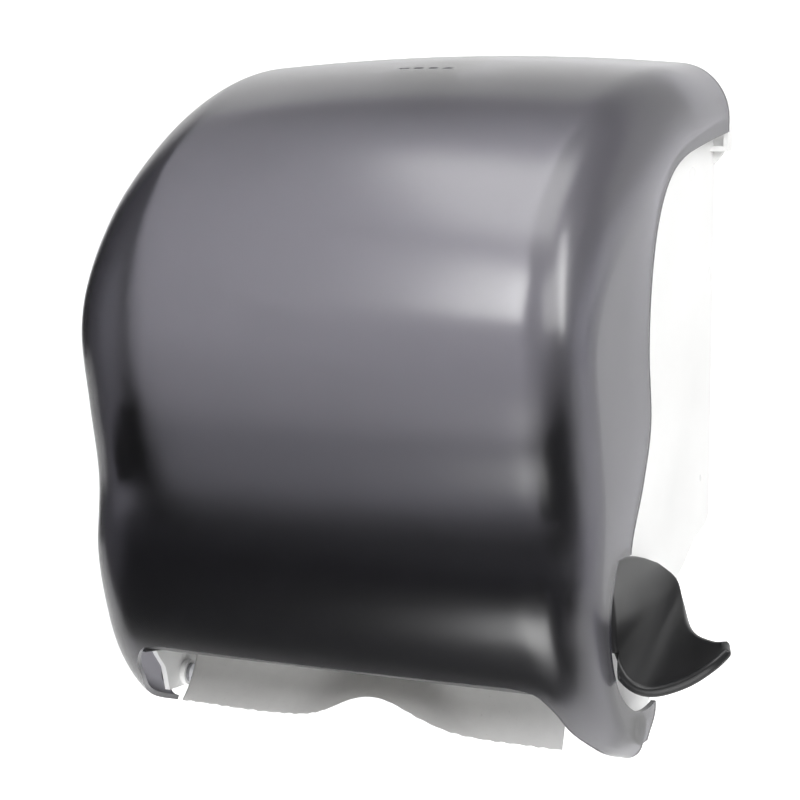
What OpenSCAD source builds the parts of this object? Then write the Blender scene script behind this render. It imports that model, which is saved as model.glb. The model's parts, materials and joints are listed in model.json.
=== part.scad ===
// Lever paper towel dispenser for a wall: a white housing holds the towel roll and its feed
// mechanism, a smoky cover hinges down over them, and a black side lever turns the rollers.
// X points to the viewer's right, -Y out of the wall, +Z up. The origin is the centre of the
// four wall screw holes, on the back plane.

/* [Cover] */
// Outer width of the cover
cover_w = 265; // [262:1:270]
// How far the cover's bulge stands from the wall
cover_d = 220; // [219:1:226]
// Height of the cover's crest above the origin
cover_top = 166; // [165:1:172]
// Depth of the cover's lowest edge below the origin
cover_low = 171; // [170:1:175]
// Wall thickness of the cover
cover_t = 2.5; // [2:0.1:2.8]
// Corner radius between the cover's front and its sides
corner_r = 30; // [28:1:32]
// How far the front swells from side to side
crown = 3; // [2:0.5:4]
// How far the top swells from side to side
top_crown = 6; // [4:0.5:7]
// Widest reach of the paper opening between the cover's legs
mouth_w = 247; // [246:1:248]
// Height of the paper opening's upper lip below the origin
mouth_drop = 122.5; // [121:0.5:124]
// Width of one key slot
slot_w = 5.4; // [4.6:0.2:6]
// Distance between key slots
slot_pitch = 8; // [7.5:0.5:9]

/* [Housing] */
// Width over the housing's side walls
housing_w = 245; // [243:1:246]
// Wall thickness of the housing
housing_t = 2.8; // [2.4:0.2:3]
// Depth of the rim against the wall
rim_d = 7.5; // [6.5:0.5:8]
// Across spacing of the wall screws
screw_x = 160; // [140:5:170]
// Up and down spacing of the wall screws
screw_z = 116; // [110:2:120]
// Radius of a wall screw hole
screw_r = 2.75; // [2.25:0.25:3.25]

/* [Towel] */
// Width of the towel roll
towel_w = 203; // [200:1:204]
// Radius of the full roll
roll_r = 94.5; // [88:0.5:95]
// Radius of the core's bore
core_r = 20; // [19.5:0.5:21]
// Thickness of the core's cardboard
core_t = 1.5; // [1:0.5:2]
// Length of towel below the tear bar
tail = 34; // [30:1:38]

/* [Feed] */
// Radius of the rubber drive roller
drive_r = 19; // [18:0.5:19.5]
// Radius of the pinch roller
pinch_r = 11; // [10:0.5:11.5]
// Radius of the drive roller's shaft
drive_shaft_r = 4; // [3.5:0.5:4.5]
// Radius of the pinch roller's shaft
pinch_shaft_r = 2.5; // [2:0.5:3]
// Gap between the rollers, for the towel
nip = 1.4; // [1.2:0.1:1.6]
// Teeth of the lever's gear, if it were whole
gear_teeth = 72; // [72:1:72]
// Teeth of the roller's pinion
pinion_teeth = 18; // [18:1:18]
// Gear module
gear_m = 1; // [1:0.1:1]
// Width of the gear teeth along the shaft
gear_b = 5; // [4:0.5:5]

/* [Lever] */
// Radius of the lever's shaft
lever_shaft_r = 5; // [4.5:0.5:5.5]
// How far the lever's tip stands out from the cover's side
lever_reach = 52; // [46:1:56]
// Thickness of the lever's scoop
lever_t = 6; // [5:0.5:6.5]
// Radius of the cover's cut-out around the lever's pivot
cutout_r = 50; // [49.5:0.5:51]

/* [Hidden] */
$fn = 48;

eps = 0.01;
run_fit = 0.06;              // radial clearance of a turning shaft
gap = 0.3;                   // clearance between neighbours that move
half_w = cover_w / 2;
wall_out = housing_w / 2;    // outer face of the housing's side walls
wall_in = wall_out - housing_t;
plate_in = towel_w / 2 + 7.5;    // inner face of the frame plates
plate_t = 3;
plate_out = plate_in + plate_t;
gear_x = plate_out + 1;      // inner face of the gears

// places of the axes, as [Y, Z]
lever_at = [-117, -95];
centre_gap = (gear_teeth + pinion_teeth) * gear_m / 2;
drive_at = lever_at + centre_gap * [-cos(2.4), -sin(2.4)];
pinch_at = drive_at + (drive_r + pinch_r + nip) * [cos(3.6), sin(3.6)];
carrier_at = [pinch_at[0] + 2.6, -68];
hinge_at = [-124, -153];
roll_at = [-103.5, 40];
arm_pin_y = -30;
hub_x = towel_w / 2 + 0.5;   // face of the arm's flange next to the roll
arm_in = hub_x + 3;
arm_t = 3;
frame_screw_at = [[-90, -64], [-158, -70], [-104, -126]];

silver = "silver";
ink = [0.13, 0.13, 0.14];
smoke = [0.35, 0.34, 0.38];
snow = [0.96, 0.96, 0.95];

// ---------- curves ----------
// Catmull-Rom blend through four points
function blend(a, b, c, d, u) = 0.5 * (2 * b + (c - a) * u + (2 * a - 5 * b + 4 * c - d) * u * u
    + (3 * b - a - 3 * c + d) * u * u * u);
// point of a smooth line through points p, at t from 0 to len(p) - 1
function along(p, t) = let (n = len(p), i = min(floor(t), n - 2),
    a = i > 0 ? p[i - 1] : 2 * p[0] - p[1],
    d = i + 2 < n ? p[i + 2] : 2 * p[n - 1] - p[n - 2]) blend(a, p[i], p[i + 1], d, t - i);
function unit(v) = v / norm(v);
function turn(v) = [-v[1], v[0]];
function heading(p, t) = unit(along(p, min(t + 0.05, len(p) - 1)) - along(p, max(t - 0.05, 0)));
function cross3(a, b) = [a[1] * b[2] - a[2] * b[1], a[2] * b[0] - a[0] * b[2],
    a[0] * b[1] - a[1] * b[0]];

// two triangles for each cell of a grid of points, rows by cols
function grid_faces(rows, cols, first = 0, flip = false) = [for (r = [0:rows - 2], c = [0:cols - 2])
    let (a = first + r * cols + c, b = a + 1, d = a + cols, e = d + 1)
    each (flip ? [[a, d, b], [b, d, e]] : [[a, b, d], [b, e, d]])];
// a skin between two grids with the same rows and cols, closed round its edge
module skin(outer, inner, rows, cols) {
    n = rows * cols;
    ring = concat([for (c = [0:cols - 2]) c], [for (r = [0:rows - 2]) r * cols + cols - 1],
        [for (c = [0:cols - 2]) (rows - 1) * cols + cols - 1 - c],
        [for (r = [0:rows - 2]) (rows - 1 - r) * cols]);
    k = len(ring);
    edge = [for (i = [0:k - 1]) let (a = ring[i], b = ring[(i + 1) % k])
        each [[a, a + n, b], [b, a + n, b + n]]];
    polyhedron(concat(outer, inner), concat(grid_faces(rows, cols),
        grid_faces(rows, cols, n, true), edge));
}

// a shape drawn in Y and Z, pulled along X from x0 to x1
module side(x0, x1) { translate([x0, 0, 0]) rotate([90, 0, 90]) linear_extrude(x1 - x0) children(); }
// a shape drawn in X and Z, pulled along Y from y0 out to -y1
module front(y0, y1) { translate([0, y0, 0]) rotate([90, 0, 0]) linear_extrude(y1 + y0) children(); }
// a rod along X, round the axis at [Y, Z]
module rod(at, r, x0, x1) { translate([x0, at[0], at[1]]) rotate([0, 90, 0]) cylinder(r = r, h = x1 - x0); }
module ring_rod(at, r, bore, x0, x1) {
    difference() {
        rod(at, r, x0, x1);
        rod(at, bore, x0 - 1, x1 + 1);
    }
}
// the same piece on the left and on the right
module pair() { children(); mirror([1, 0, 0]) children(); }
module on_side(s) { if (s > 0) children(); else mirror([1, 0, 0]) children(); }

// a coil of wire along +Z from z = 0: turns curls of 8 rings, each of 6 sides
function coil_point(r, rise, t) = [r * cos(360 * t), r * sin(360 * t), rise * t];
function coil_ring(r, rise, wire, t) = let (ahead = unit([-sin(360 * t) * 2 * PI * r,
    cos(360 * t) * 2 * PI * r, rise]), out = [cos(360 * t), sin(360 * t), 0], up = cross3(ahead, out))
    [for (a = [0:60:300]) coil_point(r, rise, t) + wire * (cos(a) * out + sin(a) * up)];
module coil(r, wire, length, turns) {
    rise = (length - 2 * wire) / turns;
    n = turns * 8;
    pts = [for (i = [0:n]) each coil_ring(r, rise, wire, i / 8)];
    tube = [for (i = [0:n - 1], k = [0:5]) let (a = i * 6 + k, b = i * 6 + (k + 1) % 6)
        each [[a, a + 6, b], [b, a + 6, b + 6]]];
    echo(coil_gap = rise - 2 * wire);
    translate([0, 0, wire]) polyhedron(pts, concat(tube, [[0, 1, 2, 3, 4, 5]],
        [[for (k = [5:-1:0]) n * 6 + k]]));
}

// ---------- the cover's surface ----------
// side view of the cover at mid width, from the top at the wall, over the front, to the legs
side_line = [[-8, cover_top], [-60, cover_top - 3.5], [-108, cover_top - 13], [-150, cover_top - 31],
    [32 - cover_d, cover_top - 62], [8 - cover_d, cover_top - 100], [-cover_d, cover_top - 134],
    [6.5 - cover_d, cover_top - 174], [13 - cover_d, 129 - cover_low], [11 - cover_d, 95 - cover_low],
    [18 - cover_d, 65 - cover_low], [35 - cover_d, 35 - cover_low], [61 - cover_d, 11 - cover_low],
    [94 - cover_d, -cover_low]];
// the cover's rear edge on its sides, station by station with side_line
edge_line = [[-8, cover_top - 39], [-43, cover_top - 44], [-77, cover_top - 51], [-98, cover_top - 63],
    [-112, cover_top - 84], [-119, cover_top - 112], [-120.5, cover_top - 141], [-117, cover_top - 174],
    [-126, 136 - cover_low], [-141, 107 - cover_low], [-138, 83 - cover_low], [-122, 53 - cover_low],
    [-105, 26 - cover_low], [-116, 10.5 - cover_low]];
// corner radius at each station: full on the front, tighter over the legs
corner_line = [for (k = [-2, 0, 6, 9, 6, 1, 0, 0, 0, 0, -1, -7, -13, -22]) corner_r + k];
// swell at each station, from the top's to the front's
crown_line = [for (k = [0.4, 0.5, 0.9, 1, 0.7, 0.3, 0, 0, 0, 0, 0, 0, 0, 0]) crown + k * (top_crown - crown)];
stations = len(side_line) - 1;

function inward(t) = turn(heading(side_line, t));
// [X, inset from side_line] across half the cover at inset d: crown, then corner
function half_section(r, s, d) = let (xc = half_w - r, q = r - d, a0 = atan(2 * s / xc), x0 = xc + q * sin(a0),
    fall = s + r - q * cos(a0) - d) concat(
    [for (u = [0, 0.35, 0.7, 1]) [x0 * u, d + fall * u * u]],
    [for (a = [0.2:0.2:1]) let (f = a0 + (90 - a0) * a) [xc + q * sin(f), s + r - q * cos(f)]]);
// a row of points from the middle to the rear edge, on one side
function half_row(t, d) = let (p = along(side_line, t), n = inward(t), r = along(corner_line, t),
    s = half_section(r, along(crown_line, t), d), e = along(edge_line, t), last = shoulder(t)) concat(
    [for (q = s) let (w = p + n * q[1]) [q[0], min(w[0], side_line[0][0]), w[1]]],
    [for (u = [0.5, 1]) let (w = last + (e - last) * u) [half_w - d, min(w[0], side_line[0][0]), w[1]]]);
function cover_row(t, d) = let (h = half_row(t, d), n = len(h)) concat(
    [for (i = [n - 1:-1:1]) [-h[i][0], h[i][1], h[i][2]]], h);
cover_cols = 21;
cover_ts = [for (i = [0:0.5:stations]) i];
function cover_grid(d) = [for (t = cover_ts) each cover_row(t, d)];
// the line where the cover's corner ends and its flat side begins
function shoulder(t) = along(side_line, t) + inward(t) * (along(crown_line, t) + along(corner_line, t));

mouth_half = mouth_w / 2;
// half outline of the paper opening, from its lip down the leg
mouth_line = [[mouth_half - 30, -mouth_drop], [mouth_half - 19, -mouth_drop - 2.5],
    [mouth_half - 12, -mouth_drop - 11], [mouth_half - 8, -mouth_drop - 22],
    [mouth_half - 1.2, -mouth_drop - 35], [mouth_half + 1.2, -mouth_drop - 50]];
module mouth_shape() {
    leg = [for (t = [0:0.5:5]) along(mouth_line, t)];
    polygon(concat(leg, [for (i = [len(leg) - 1:-1:0]) [-leg[i][0], leg[i][1]]]));
}

slot_y = -85;
slot_d = 2.6;                // slot size front to back
module key_slots() {
    for (i = [-1.5:1:1.5]) translate([i * slot_pitch, slot_y, cover_top - 30]) linear_extrude(40)
        pair() translate([(slot_w - slot_d) / 2, 0]) union() {
            circle(r = slot_d / 2, $fn = 24);
            translate([-(slot_w - slot_d) / 2, -slot_d / 2]) square([(slot_w - slot_d) / 2, slot_d]);
        }
}
hinge_pin_r = 3;
boss_r = 6.5;
catch_y = -46;
catch_z = cover_top - 8.4;   // lower edge of the catch rib
module front_cover() {
    color(smoke) difference() {
        union() {
            skin(cover_grid(0), cover_grid(cover_t), len(cover_ts), cover_cols);
            pair() rod(hinge_at, boss_r, wall_out + 1.7, half_w - cover_t + 0.6);
            translate([-14, catch_y, catch_z]) cube([28, 4, cover_top - 4 - catch_z]);
        }
        front(-110, cover_d + 10 + 110) mouth_shape();
        pair() rod(hinge_at, hinge_pin_r + run_fit, wall_out, half_w - 5);
        key_slots();
        intersection() {
            rod(lever_at, cutout_r, half_w - 12, half_w + 12);
            translate([half_w - 12, -200, -166]) cube([24, 110, 100]);
        }
    }
}

// ---------- housing ----------
foot_y = -96;
// the housing's lower rear edge, from the wall down to the towel outlet
rear_edge = [[0, -70], [-4, -74], [-23, -80], [-38, -90], [-47, -94], [-88, -150], [foot_y, -160]];
shelf_z = cover_top - 9;     // top face of the housing's top shelf
shelf_y = 45.5;              // depth of the top shelf
module housing_side_shape() {
    polygon(concat(rear_edge, [[-118, 11 - cover_low], [-140, 12 - cover_low]],
        [for (t = [12.2:-0.4:1.2]) shoulder(t) + [2, 0]], [[-58, shelf_z], [0, shelf_z]]));
}
rim_w = half_w - 0.8;
shell_r = 18;
module arch(half, top, r, low) {
    translate([-half, low]) square([2 * half, top - top_crown - r - low]);
    polygon(concat([for (u = [-1:0.125:1]) [u * (half - r), top - top_crown * u * u]],
        [[half - r, top - top_crown - r - eps], [r - half, top - top_crown - r - eps]]));
    pair() translate([half - r, top - top_crown - r]) circle(r = r);
}
// a rib along the cover's rear edge, standing out from the side wall
module lip_shape() {
    ts = [for (t = [0:0.5:9]) t];
    near = [for (t = ts) along(edge_line, t) + 0.5 * turn(turn(turn(heading(edge_line, t))))];
    far = [for (t = ts) along(edge_line, t) + (2.6 + 4.6 * max(0, 1 - t / 3))
        * turn(turn(turn(heading(edge_line, t))))];
    polygon(concat([for (p = near) [min(p[0], -3), p[1]]],
        [for (i = [len(far) - 1:-1:0]) [min(far[i][0], -3), far[i][1]]]));
}
module housing_boss(at, r, bore, depth) {
    ring_rod(at, r, bore, plate_out, wall_in + 0.5);
}
arm_pin_z = [20, 60];
arm_lug_t = 4.7;
spring_post_y = -93.5;
spring_low = -134.3;
spring_x = (gear_x + wall_in) / 2;
module housing_floor() {
    below = [for (p = rear_edge) p];
    above = [for (p = rear_edge) p + [p[0] > -3 ? 0 : -1.4, 2.6]];
    side(-wall_in - 0.5, wall_in + 0.5) polygon(concat(below, [for (i = [len(above) - 1:-1:0]) above[i]]));
}
latch_w = 40;
latch_y = -92;
module latch_bracket() {
    pair() translate([latch_w / 2 + 0.4, latch_y, shelf_z - 9]) cube([2.2, -latch_y - 40, 5.3]);
    translate([-latch_w / 2 - 2.6, -70, shelf_z - 19]) cube([latch_w + 5.2, 26, 2]);
    pair() translate([latch_w / 2 + 0.4, -70, shelf_z - 19]) cube([2.2, 26, 19]);
    translate([-latch_w / 2 - 2.6, -46, shelf_z - 19]) cube([latch_w + 5.2, 2, 16.7]);
}
module back_housing() {
    color(snow) difference() {
        union() {
            intersection() {
                side(-wall_out, wall_out) housing_side_shape();
                front(0, 230) difference() {
                    arch(wall_out, shelf_z, shell_r, -200);
                    arch(wall_in, shelf_z - housing_t, shell_r - housing_t, -201);
                }
                union() {
                    translate([-wall_out - 1, -230, -200]) cube([2 * wall_out + 2, 230, 200 + shelf_z - 27]);
                    translate([-wall_out - 1, -shelf_y, 0]) cube([2 * wall_out + 2, shelf_y, shelf_z]);
                }
            }
            front(0, housing_t) {
                arch(wall_out, cover_top - 3, shell_r, -70);
                arch(rim_w, cover_top - 1, corner_r - 2, 117);
            }
            front(0, rim_d) difference() {
                arch(rim_w, cover_top - 1, corner_r - 2, 117);
                arch(rim_w - 2.4, cover_top - 3.4, corner_r - 4.4, 100);
            }
            pair() side(wall_out - 0.5, half_w - cover_t - gap) lip_shape();
            pair() translate([wall_out - 0.5, -rim_d, 117]) cube([rim_w - wall_out + 0.5, rim_d, 2.6]);
            housing_floor();
            pair() for (at = frame_screw_at) housing_boss(at, 4.5, 1.5);
            pair() rod(hinge_at, boss_r, wall_in - 3, wall_out + 1);
            pair() for (z = [arm_pin_z[0], arm_pin_z[1] - arm_lug_t]) translate([arm_in - 3, -36, z])
                cube([9, 34, arm_lug_t]);
            latch_bracket();
            translate([gear_x + 0.5, spring_post_y - 4, -140]) cube([wall_in - gear_x, 8, 140 + spring_low]);
            pair() translate([45, -6, -66]) cube([3, 4, 190]);
        }
        for (x = [-0.5, 0.5], z = [-0.5, 0.5]) translate([x * screw_x, 1, z * screw_z])
            rotate([90, 0, 0]) cylinder(r = screw_r, h = housing_t + 4);
        rod(lever_at, 8, wall_in - 1, wall_out + 2);
        pair() rod(hinge_at, hinge_pin_r, wall_in - 5, wall_out + 2);
        pair() translate([arm_in + arm_t / 2, arm_pin_y, arm_pin_z[0] - 1]) cylinder(r = 2, h = 42);
        pair() for (at = frame_screw_at) rod(at, 1.5, plate_out - 1, wall_in - 0.6);
    }
}

// ---------- frame of the feed ----------
module plate_shape() {
    polygon(concat([[-84, -56], [-119, -54], [-123, -8], [-134, 3], [-160, 7], [-186, 4], [-196, -6], [-199, -25],
        [-195, -42], [-168, -47], [-166, -56]],
        [for (t = [0:0.5:5]) along(guard_line, t) + (2 + gap) * turn(heading(guard_line, t))],
        [[-179, -129.5], [-134, -136], [-100, -133], [-92, -112], [-84, -84]]));
}
module frame_plate(lever_hole) {
    color(ink) difference() {
        side(plate_in, plate_out) plate_shape();
        rod(drive_at, 7, plate_in - 1, plate_out + 1);
        rod(carrier_at, 2, plate_in - 1, plate_out + 1);
        for (at = frame_screw_at) rod(at, 1.5, plate_in - 1, plate_out + 1);
        if (lever_hole) rod(lever_at, lever_shaft_r + run_fit, plate_in - 1, plate_out + 1);
    }
}
module frame_left() { on_side(-1) frame_plate(false); }
module frame_right() { frame_plate(true); }
spring_y = -103;             // front face of the bridge, behind the pinch springs
module frame_bridge() {
    color(ink) side(-plate_in, plate_in) polygon([[spring_y, -116], [spring_y, -64], [spring_y + 10, -62],
        [spring_y + 10, -65], [spring_y + 3, -66.5], [spring_y + 3, -116]]);
}
beam_back = -150.5;
beam_low = -127.5;
module front_beam() {
    color(ink) difference() {
        side(-plate_in, plate_in) polygon([[beam_back, beam_low], [-179, beam_low], [-182, -125],
            [-182.6, -120.5], [-179, -120.5], [-176, -122.5], [beam_back, -122.5]]);
        for (x = [-80, 0, 80]) translate([x, beam_back + 1, -125]) rotate([90, 0, 0]) cylinder(r = 1.2, h = 12);
    }
}
guard_line = [[-172, -58], [-181.5, -60.5], [-186.6, -68], [-188.2, -90], [-187, -108], [-184.2, -120.5]];
module roller_guard() {
    outer = [for (t = [0:0.5:5]) along(guard_line, t)];
    inner = [for (t = [5:-0.5:0]) along(guard_line, t) + 2 * turn(heading(guard_line, t))];
    color(ink) side(-plate_out - 6, plate_out + 6) polygon(concat(outer, inner));
}
module towel_guide() {
    color(ink) side(-plate_in, plate_in) polygon([[-137, -134], [-138.4, -134], [-138.4, -115],
        [-136.6, -111.5], [-133.6, -109.8], [-133.6, -111.4], [-135.6, -113], [-137, -116]]);
}
teeth = 40;
tear_t = 1;
module tear_bar() {
    half = towel_w / 2;
    pitch = towel_w / teeth;
    saw = [for (i = [0:teeth - 1]) each [[-half + i * pitch, -131.5], [-half + (i + 0.5) * pitch, -134.5]]];
    color(silver) difference() {
        translate([0, beam_back + tear_t, 0]) rotate([90, 0, 0]) linear_extrude(tear_t)
            polygon(concat(saw, [[half, -131.5], [half, -123], [-half, -123]]));
        for (x = [-80, 0, 80]) translate([x, beam_back + 3, -125]) rotate([90, 0, 0]) cylinder(r = 1.25, h = 8);
    }
}
module tear_bar_screws() {
    color(silver) for (x = [-80, 0, 80]) translate([x, beam_back, -125]) rotate([90, 0, 0]) {
        translate([0, 0, -tear_t]) cylinder(r = 1.2, h = 9);
        translate([0, 0, -tear_t - 1.5]) cylinder(r = 2.4, h = 1.5);
    }
}
module frame_screws() {
    color(silver) pair() for (at = frame_screw_at) {
        rod(at, 1.5, plate_in, plate_out + 5);
        rod(at, 3, plate_in - 2, plate_in);
    }
}
module roller_bush() { color(snow) ring_rod(drive_at, 7, drive_shaft_r + run_fit, plate_in - 0.5, plate_out + 0.5); }
module roller_bush_right() { roller_bush(); }
module roller_bush_left() { on_side(-1) roller_bush(); }
module lever_bush() {
    color(ink) difference() {
        union() {
            rod(lever_at, 8, gear_x + gear_b + 0.4, wall_out + 0.7);
            rod(lever_at, 10, wall_out, wall_out + 0.7);
        }
        rod(lever_at, lever_shaft_r + run_fit, gear_x, wall_out + 2);
    }
}
module carrier_rod() { color(silver) rod(carrier_at, 2, -plate_out, plate_out); }
module hinge_pin() {
    color(silver) {
        rod(hinge_at, hinge_pin_r, wall_in - 5, half_w - 6);
        rod(hinge_at, 5, wall_in - 5, wall_in - 3);
    }
}
module hinge_pin_right() { hinge_pin(); }
module hinge_pin_left() { on_side(-1) hinge_pin(); }

// ---------- latch ----------
latch_z = shelf_z - 8;       // under face of the latch plate
latch_spring_low = shelf_z - 16.7;
module latch() {
    color(ink) {
        translate([-latch_w / 2, latch_y, latch_z]) cube([latch_w, -latch_y - 50.5, 2.5]);
        translate([-14, -50.5, latch_z]) cube([28, 4, shelf_z + 3.2 - latch_z]);
    }
}
module latch_spring() {
    color(silver) translate([0, -62, latch_spring_low]) coil(3.5, 0.45, latch_z - 0.3 - latch_spring_low, 4);
}

// ---------- towel roll and its arms ----------
module arm_body() {
    difference() {
        union() {
            side(arm_in, arm_in + arm_t) {
                translate(roll_at) circle(r = 26);
                polygon([[roll_at[0], roll_at[1] + 26], [arm_pin_y, roll_at[1] + 14],
                    [arm_pin_y, roll_at[1] - 14], [roll_at[0], roll_at[1] - 26]]);
            }
            translate([arm_in + arm_t / 2, arm_pin_y, arm_pin_z[0] + arm_lug_t + 0.3])
                cylinder(r = 4.4, h = arm_pin_z[1] - arm_pin_z[0] - 2 * arm_lug_t - 0.6);
            rod(roll_at, 26, hub_x, arm_in);
            translate([hub_x, roll_at[0], roll_at[1]]) rotate([0, -90, 0])
                cylinder(r1 = core_r - 0.4, r2 = core_r - 3.6, h = 7);
        }
        translate([arm_in + arm_t / 2, arm_pin_y, arm_pin_z[0]]) cylinder(r = 2 + run_fit, h = 42);
        rod(roll_at, 9, hub_x - 12, hub_x + 1.5);
    }
}
module roll_arm_right() { color(ink) arm_body(); }
module roll_arm_left() { color(ink) on_side(-1) arm_body(); }
module arm_pin() {
    color(silver) translate([arm_in + arm_t / 2, arm_pin_y, arm_pin_z[0]]) cylinder(r = 2, h = arm_pin_z[1] - arm_pin_z[0]);
}
module arm_pin_right() { arm_pin(); }
module arm_pin_left() { on_side(-1) arm_pin(); }
arm_back = arm_in + arm_t;
module arm_spring() {
    bow = [[wall_in - 0.9, -42], [wall_in - 1.6, -52], [arm_back + 1.2, -72], [arm_back + gap, -84],
        [arm_back + 1.2, -96], [wall_in - 1.6, -116], [wall_in - 0.9, -126]];
    outer = [for (t = [0:0.5:6]) along(bow, t)];
    inner = [for (t = [6:-0.5:0]) along(bow, t) + 0.6 * turn(heading(bow, t))];
    color(silver) translate([0, 0, roll_at[1] - 8]) linear_extrude(16) polygon(concat(outer, inner));
}
module arm_spring_right() { arm_spring(); }
module arm_spring_left() { on_side(-1) arm_spring(); }
module roll_core() {
    color("tan") ring_rod(roll_at, core_r + core_t, core_r, -towel_w / 2, towel_w / 2, $fn = 96);
}
module towel_roll() {
    color("white") ring_rod(roll_at, roll_r, core_r + core_t, -towel_w / 2, towel_w / 2, $fn = 96);
}
sheet_t = 0.8;
nip_y = drive_at[0] + (drive_r + nip / 2) * cos(3.6);
nip_z = drive_at[1] + (drive_r + nip / 2) * sin(3.6);
function swell(x) = exp(-pow((x - 12) / 33, 2));
function swing(x) = 18 + 46 * swell(x) - 10 * x / 100;
// the towel's middle line in Y and Z, at s from 0 at the roll to 1 at its free edge
wrap_r = drive_r + nip / 2;
roll_gap = 0.9;
web_start = roll_at + (roll_r + roll_gap) * [-cos(31.5), -sin(31.5)];
function sheet_line(x) = let (a = swing(x), z0 = -132) concat(
    [for (u = [0:0.25:0.75]) web_start + (drive_at + wrap_r * [cos(33), sin(33)] - web_start) * u],
    [for (f = [33, 22, 12, 3.6]) drive_at + wrap_r * [cos(f), sin(f)]],
    [[nip_y, -112], [nip_y, z0 + 4]],
    [for (u = [0.2:0.2:1]) [nip_y, z0 + 4] + (tail - 5 * swell(x)) * u * [-sin(a * u), -cos(a * u)]]);
module towel_sheet() {
    cols = 19;
    rows = len(sheet_line(0));
    xs = [for (c = [0:cols - 1]) (c / (cols - 1) - 0.5) * towel_w];
    function offset_point(x, r, d) = let (l = sheet_line(x), p = l[r], n = len(l),
        h = unit(l[min(r + 1, n - 1)] - l[max(r - 1, 0)])) let (w = p + d * turn(h)) [x, w[0], w[1]];
    a = [for (r = [0:rows - 1], x = xs) offset_point(x, r, -sheet_t / 2)];
    b = [for (r = [0:rows - 1], x = xs) offset_point(x, r, sheet_t / 2)];
    color("white") skin(a, b, rows, cols);
}

// ---------- rollers ----------
module roller_shaft() { color(silver) rod(drive_at, drive_shaft_r, -plate_out - 6, plate_out + 6.4); }
roller_len = towel_w / 2 + 2;
grip_t = 2.2;
module roller_body() { color(ink) ring_rod(drive_at, drive_r - grip_t, drive_shaft_r, -roller_len, roller_len); }
module roller_grips() {
    color([0.22, 0.22, 0.23]) for (i = [-2:2]) ring_rod(drive_at, drive_r, drive_r - grip_t, i * 42 - 13, i * 42 + 13);
}
module feed_wheel() {
    color(ink) difference() {
        union() {
            rod(drive_at, 13, -gear_x - gear_b, -gear_x);
            for (a = [0:20:340]) rod(drive_at + 13 * [cos(a), sin(a)], 1, -gear_x - gear_b, -gear_x, $fn = 16);
        }
        rod(drive_at, drive_shaft_r, -gear_x - gear_b - 1, -gear_x + 1);
    }
}
module pinch_shaft() { color(silver) rod(pinch_at, pinch_shaft_r, -plate_in + 0.5, plate_in - 0.5); }
module pinch_roller() {
    color([0.22, 0.22, 0.23]) difference() {
        rod(pinch_at, pinch_r, -roller_len + 0.5, roller_len - 0.5);
        rod(pinch_at, pinch_shaft_r, -roller_len, roller_len);
        for (x = [-63, -21, 21, 63]) ring_rod(pinch_at, pinch_r + 1, pinch_r - 1, x - 4, x + 4);
    }
}
carrier_x = roller_len + 0.8;
carrier_back = pinch_at[0] + pinch_r + 1.2;
module pinch_carrier() {
    color(ink) difference() {
        union() {
            pair() {
                rod(carrier_at, 5, carrier_x, plate_in - 0.4);
                rod(pinch_at, 5, carrier_x, plate_in - 0.4);
                side(carrier_x, plate_in - 2.4) polygon([carrier_at + [-5, 0], carrier_at + [5, 0],
                    [carrier_back + 2.6, carrier_at[1] - 4], [carrier_back + 2.6, pinch_at[1] - 6],
                    pinch_at + [0, -5], pinch_at + [-5, 0]]);
            }
            rod(carrier_at, 5, -carrier_x - eps, carrier_x + eps);
            side(-carrier_x - eps, carrier_x + eps) polygon([carrier_at + [0, -4], carrier_at + [2, 4],
                [carrier_back + 2.6, carrier_at[1] + 4], [carrier_back + 2.6, pinch_at[1] - 6],
                [carrier_back, pinch_at[1] - 6], [carrier_back, carrier_at[1] - 6]]);
        }
        rod(carrier_at, 2 + run_fit, -plate_in, plate_in);
        pair() rod(pinch_at, pinch_shaft_r + run_fit, carrier_x - 1, plate_in);
    }
}
module pinch_springs() {
    back = carrier_back + 2.6 + gap;
    color(silver) for (x = [-60, 60]) translate([x, back, pinch_at[1]]) rotate([-90, 0, 0])
        coil(3.5, 0.5, spring_y - gap - back, 5);
}

// ---------- gears ----------
pressure = 20;
backlash = 0.16;
deg = 180 / PI;
function inv(a) = tan(a) * deg - a;
// half width angle of a tooth at radius r, for n teeth
function tooth_half(n, r) = let (rp = n * gear_m / 2, rb = rp * cos(pressure), a = acos(min(1, rb / r)))
    (90 / n - backlash / 2 / rp * deg) + inv(pressure) - inv(a);
function tooth(n, at) = let (rp = n * gear_m / 2, rb = rp * cos(pressure), root = rp - 1.25 * gear_m,
    tip = rp + gear_m * 0.96, rs = [for (u = [0:0.2:1]) max(rb, root) * (1 - u) + tip * u])
    concat([root * [cos(at - tooth_half(n, rb)), sin(at - tooth_half(n, rb))]],
    [for (r = rs) let (f = at - tooth_half(n, r)) r * [cos(f), sin(f)]],
    [for (i = [len(rs) - 1:-1:0]) let (f = at + tooth_half(n, rs[i])) rs[i] * [cos(f), sin(f)]],
    [root * [cos(at + tooth_half(n, rb)), sin(at + tooth_half(n, rb))]]);
mesh_a = atan2(drive_at[1] - lever_at[1], drive_at[0] - lever_at[0]) + 360;
module roller_pinion() {
    first = mesh_a + 180;
    color(snow) difference() {
        side(gear_x, gear_x + gear_b) translate(drive_at)
            polygon([for (i = [0:pinion_teeth - 1]) each tooth(pinion_teeth, first + i * 360 / pinion_teeth)]);
        rod(drive_at, drive_shaft_r + 1.5, gear_x - 1, gear_x + gear_b + 1);
    }
}
module roller_clutch() { color(silver) ring_rod(drive_at, drive_shaft_r + 1.5, drive_shaft_r + run_fit, gear_x, gear_x + gear_b); }
spring_arm = [spring_post_y - lever_at[0], -10];
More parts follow.
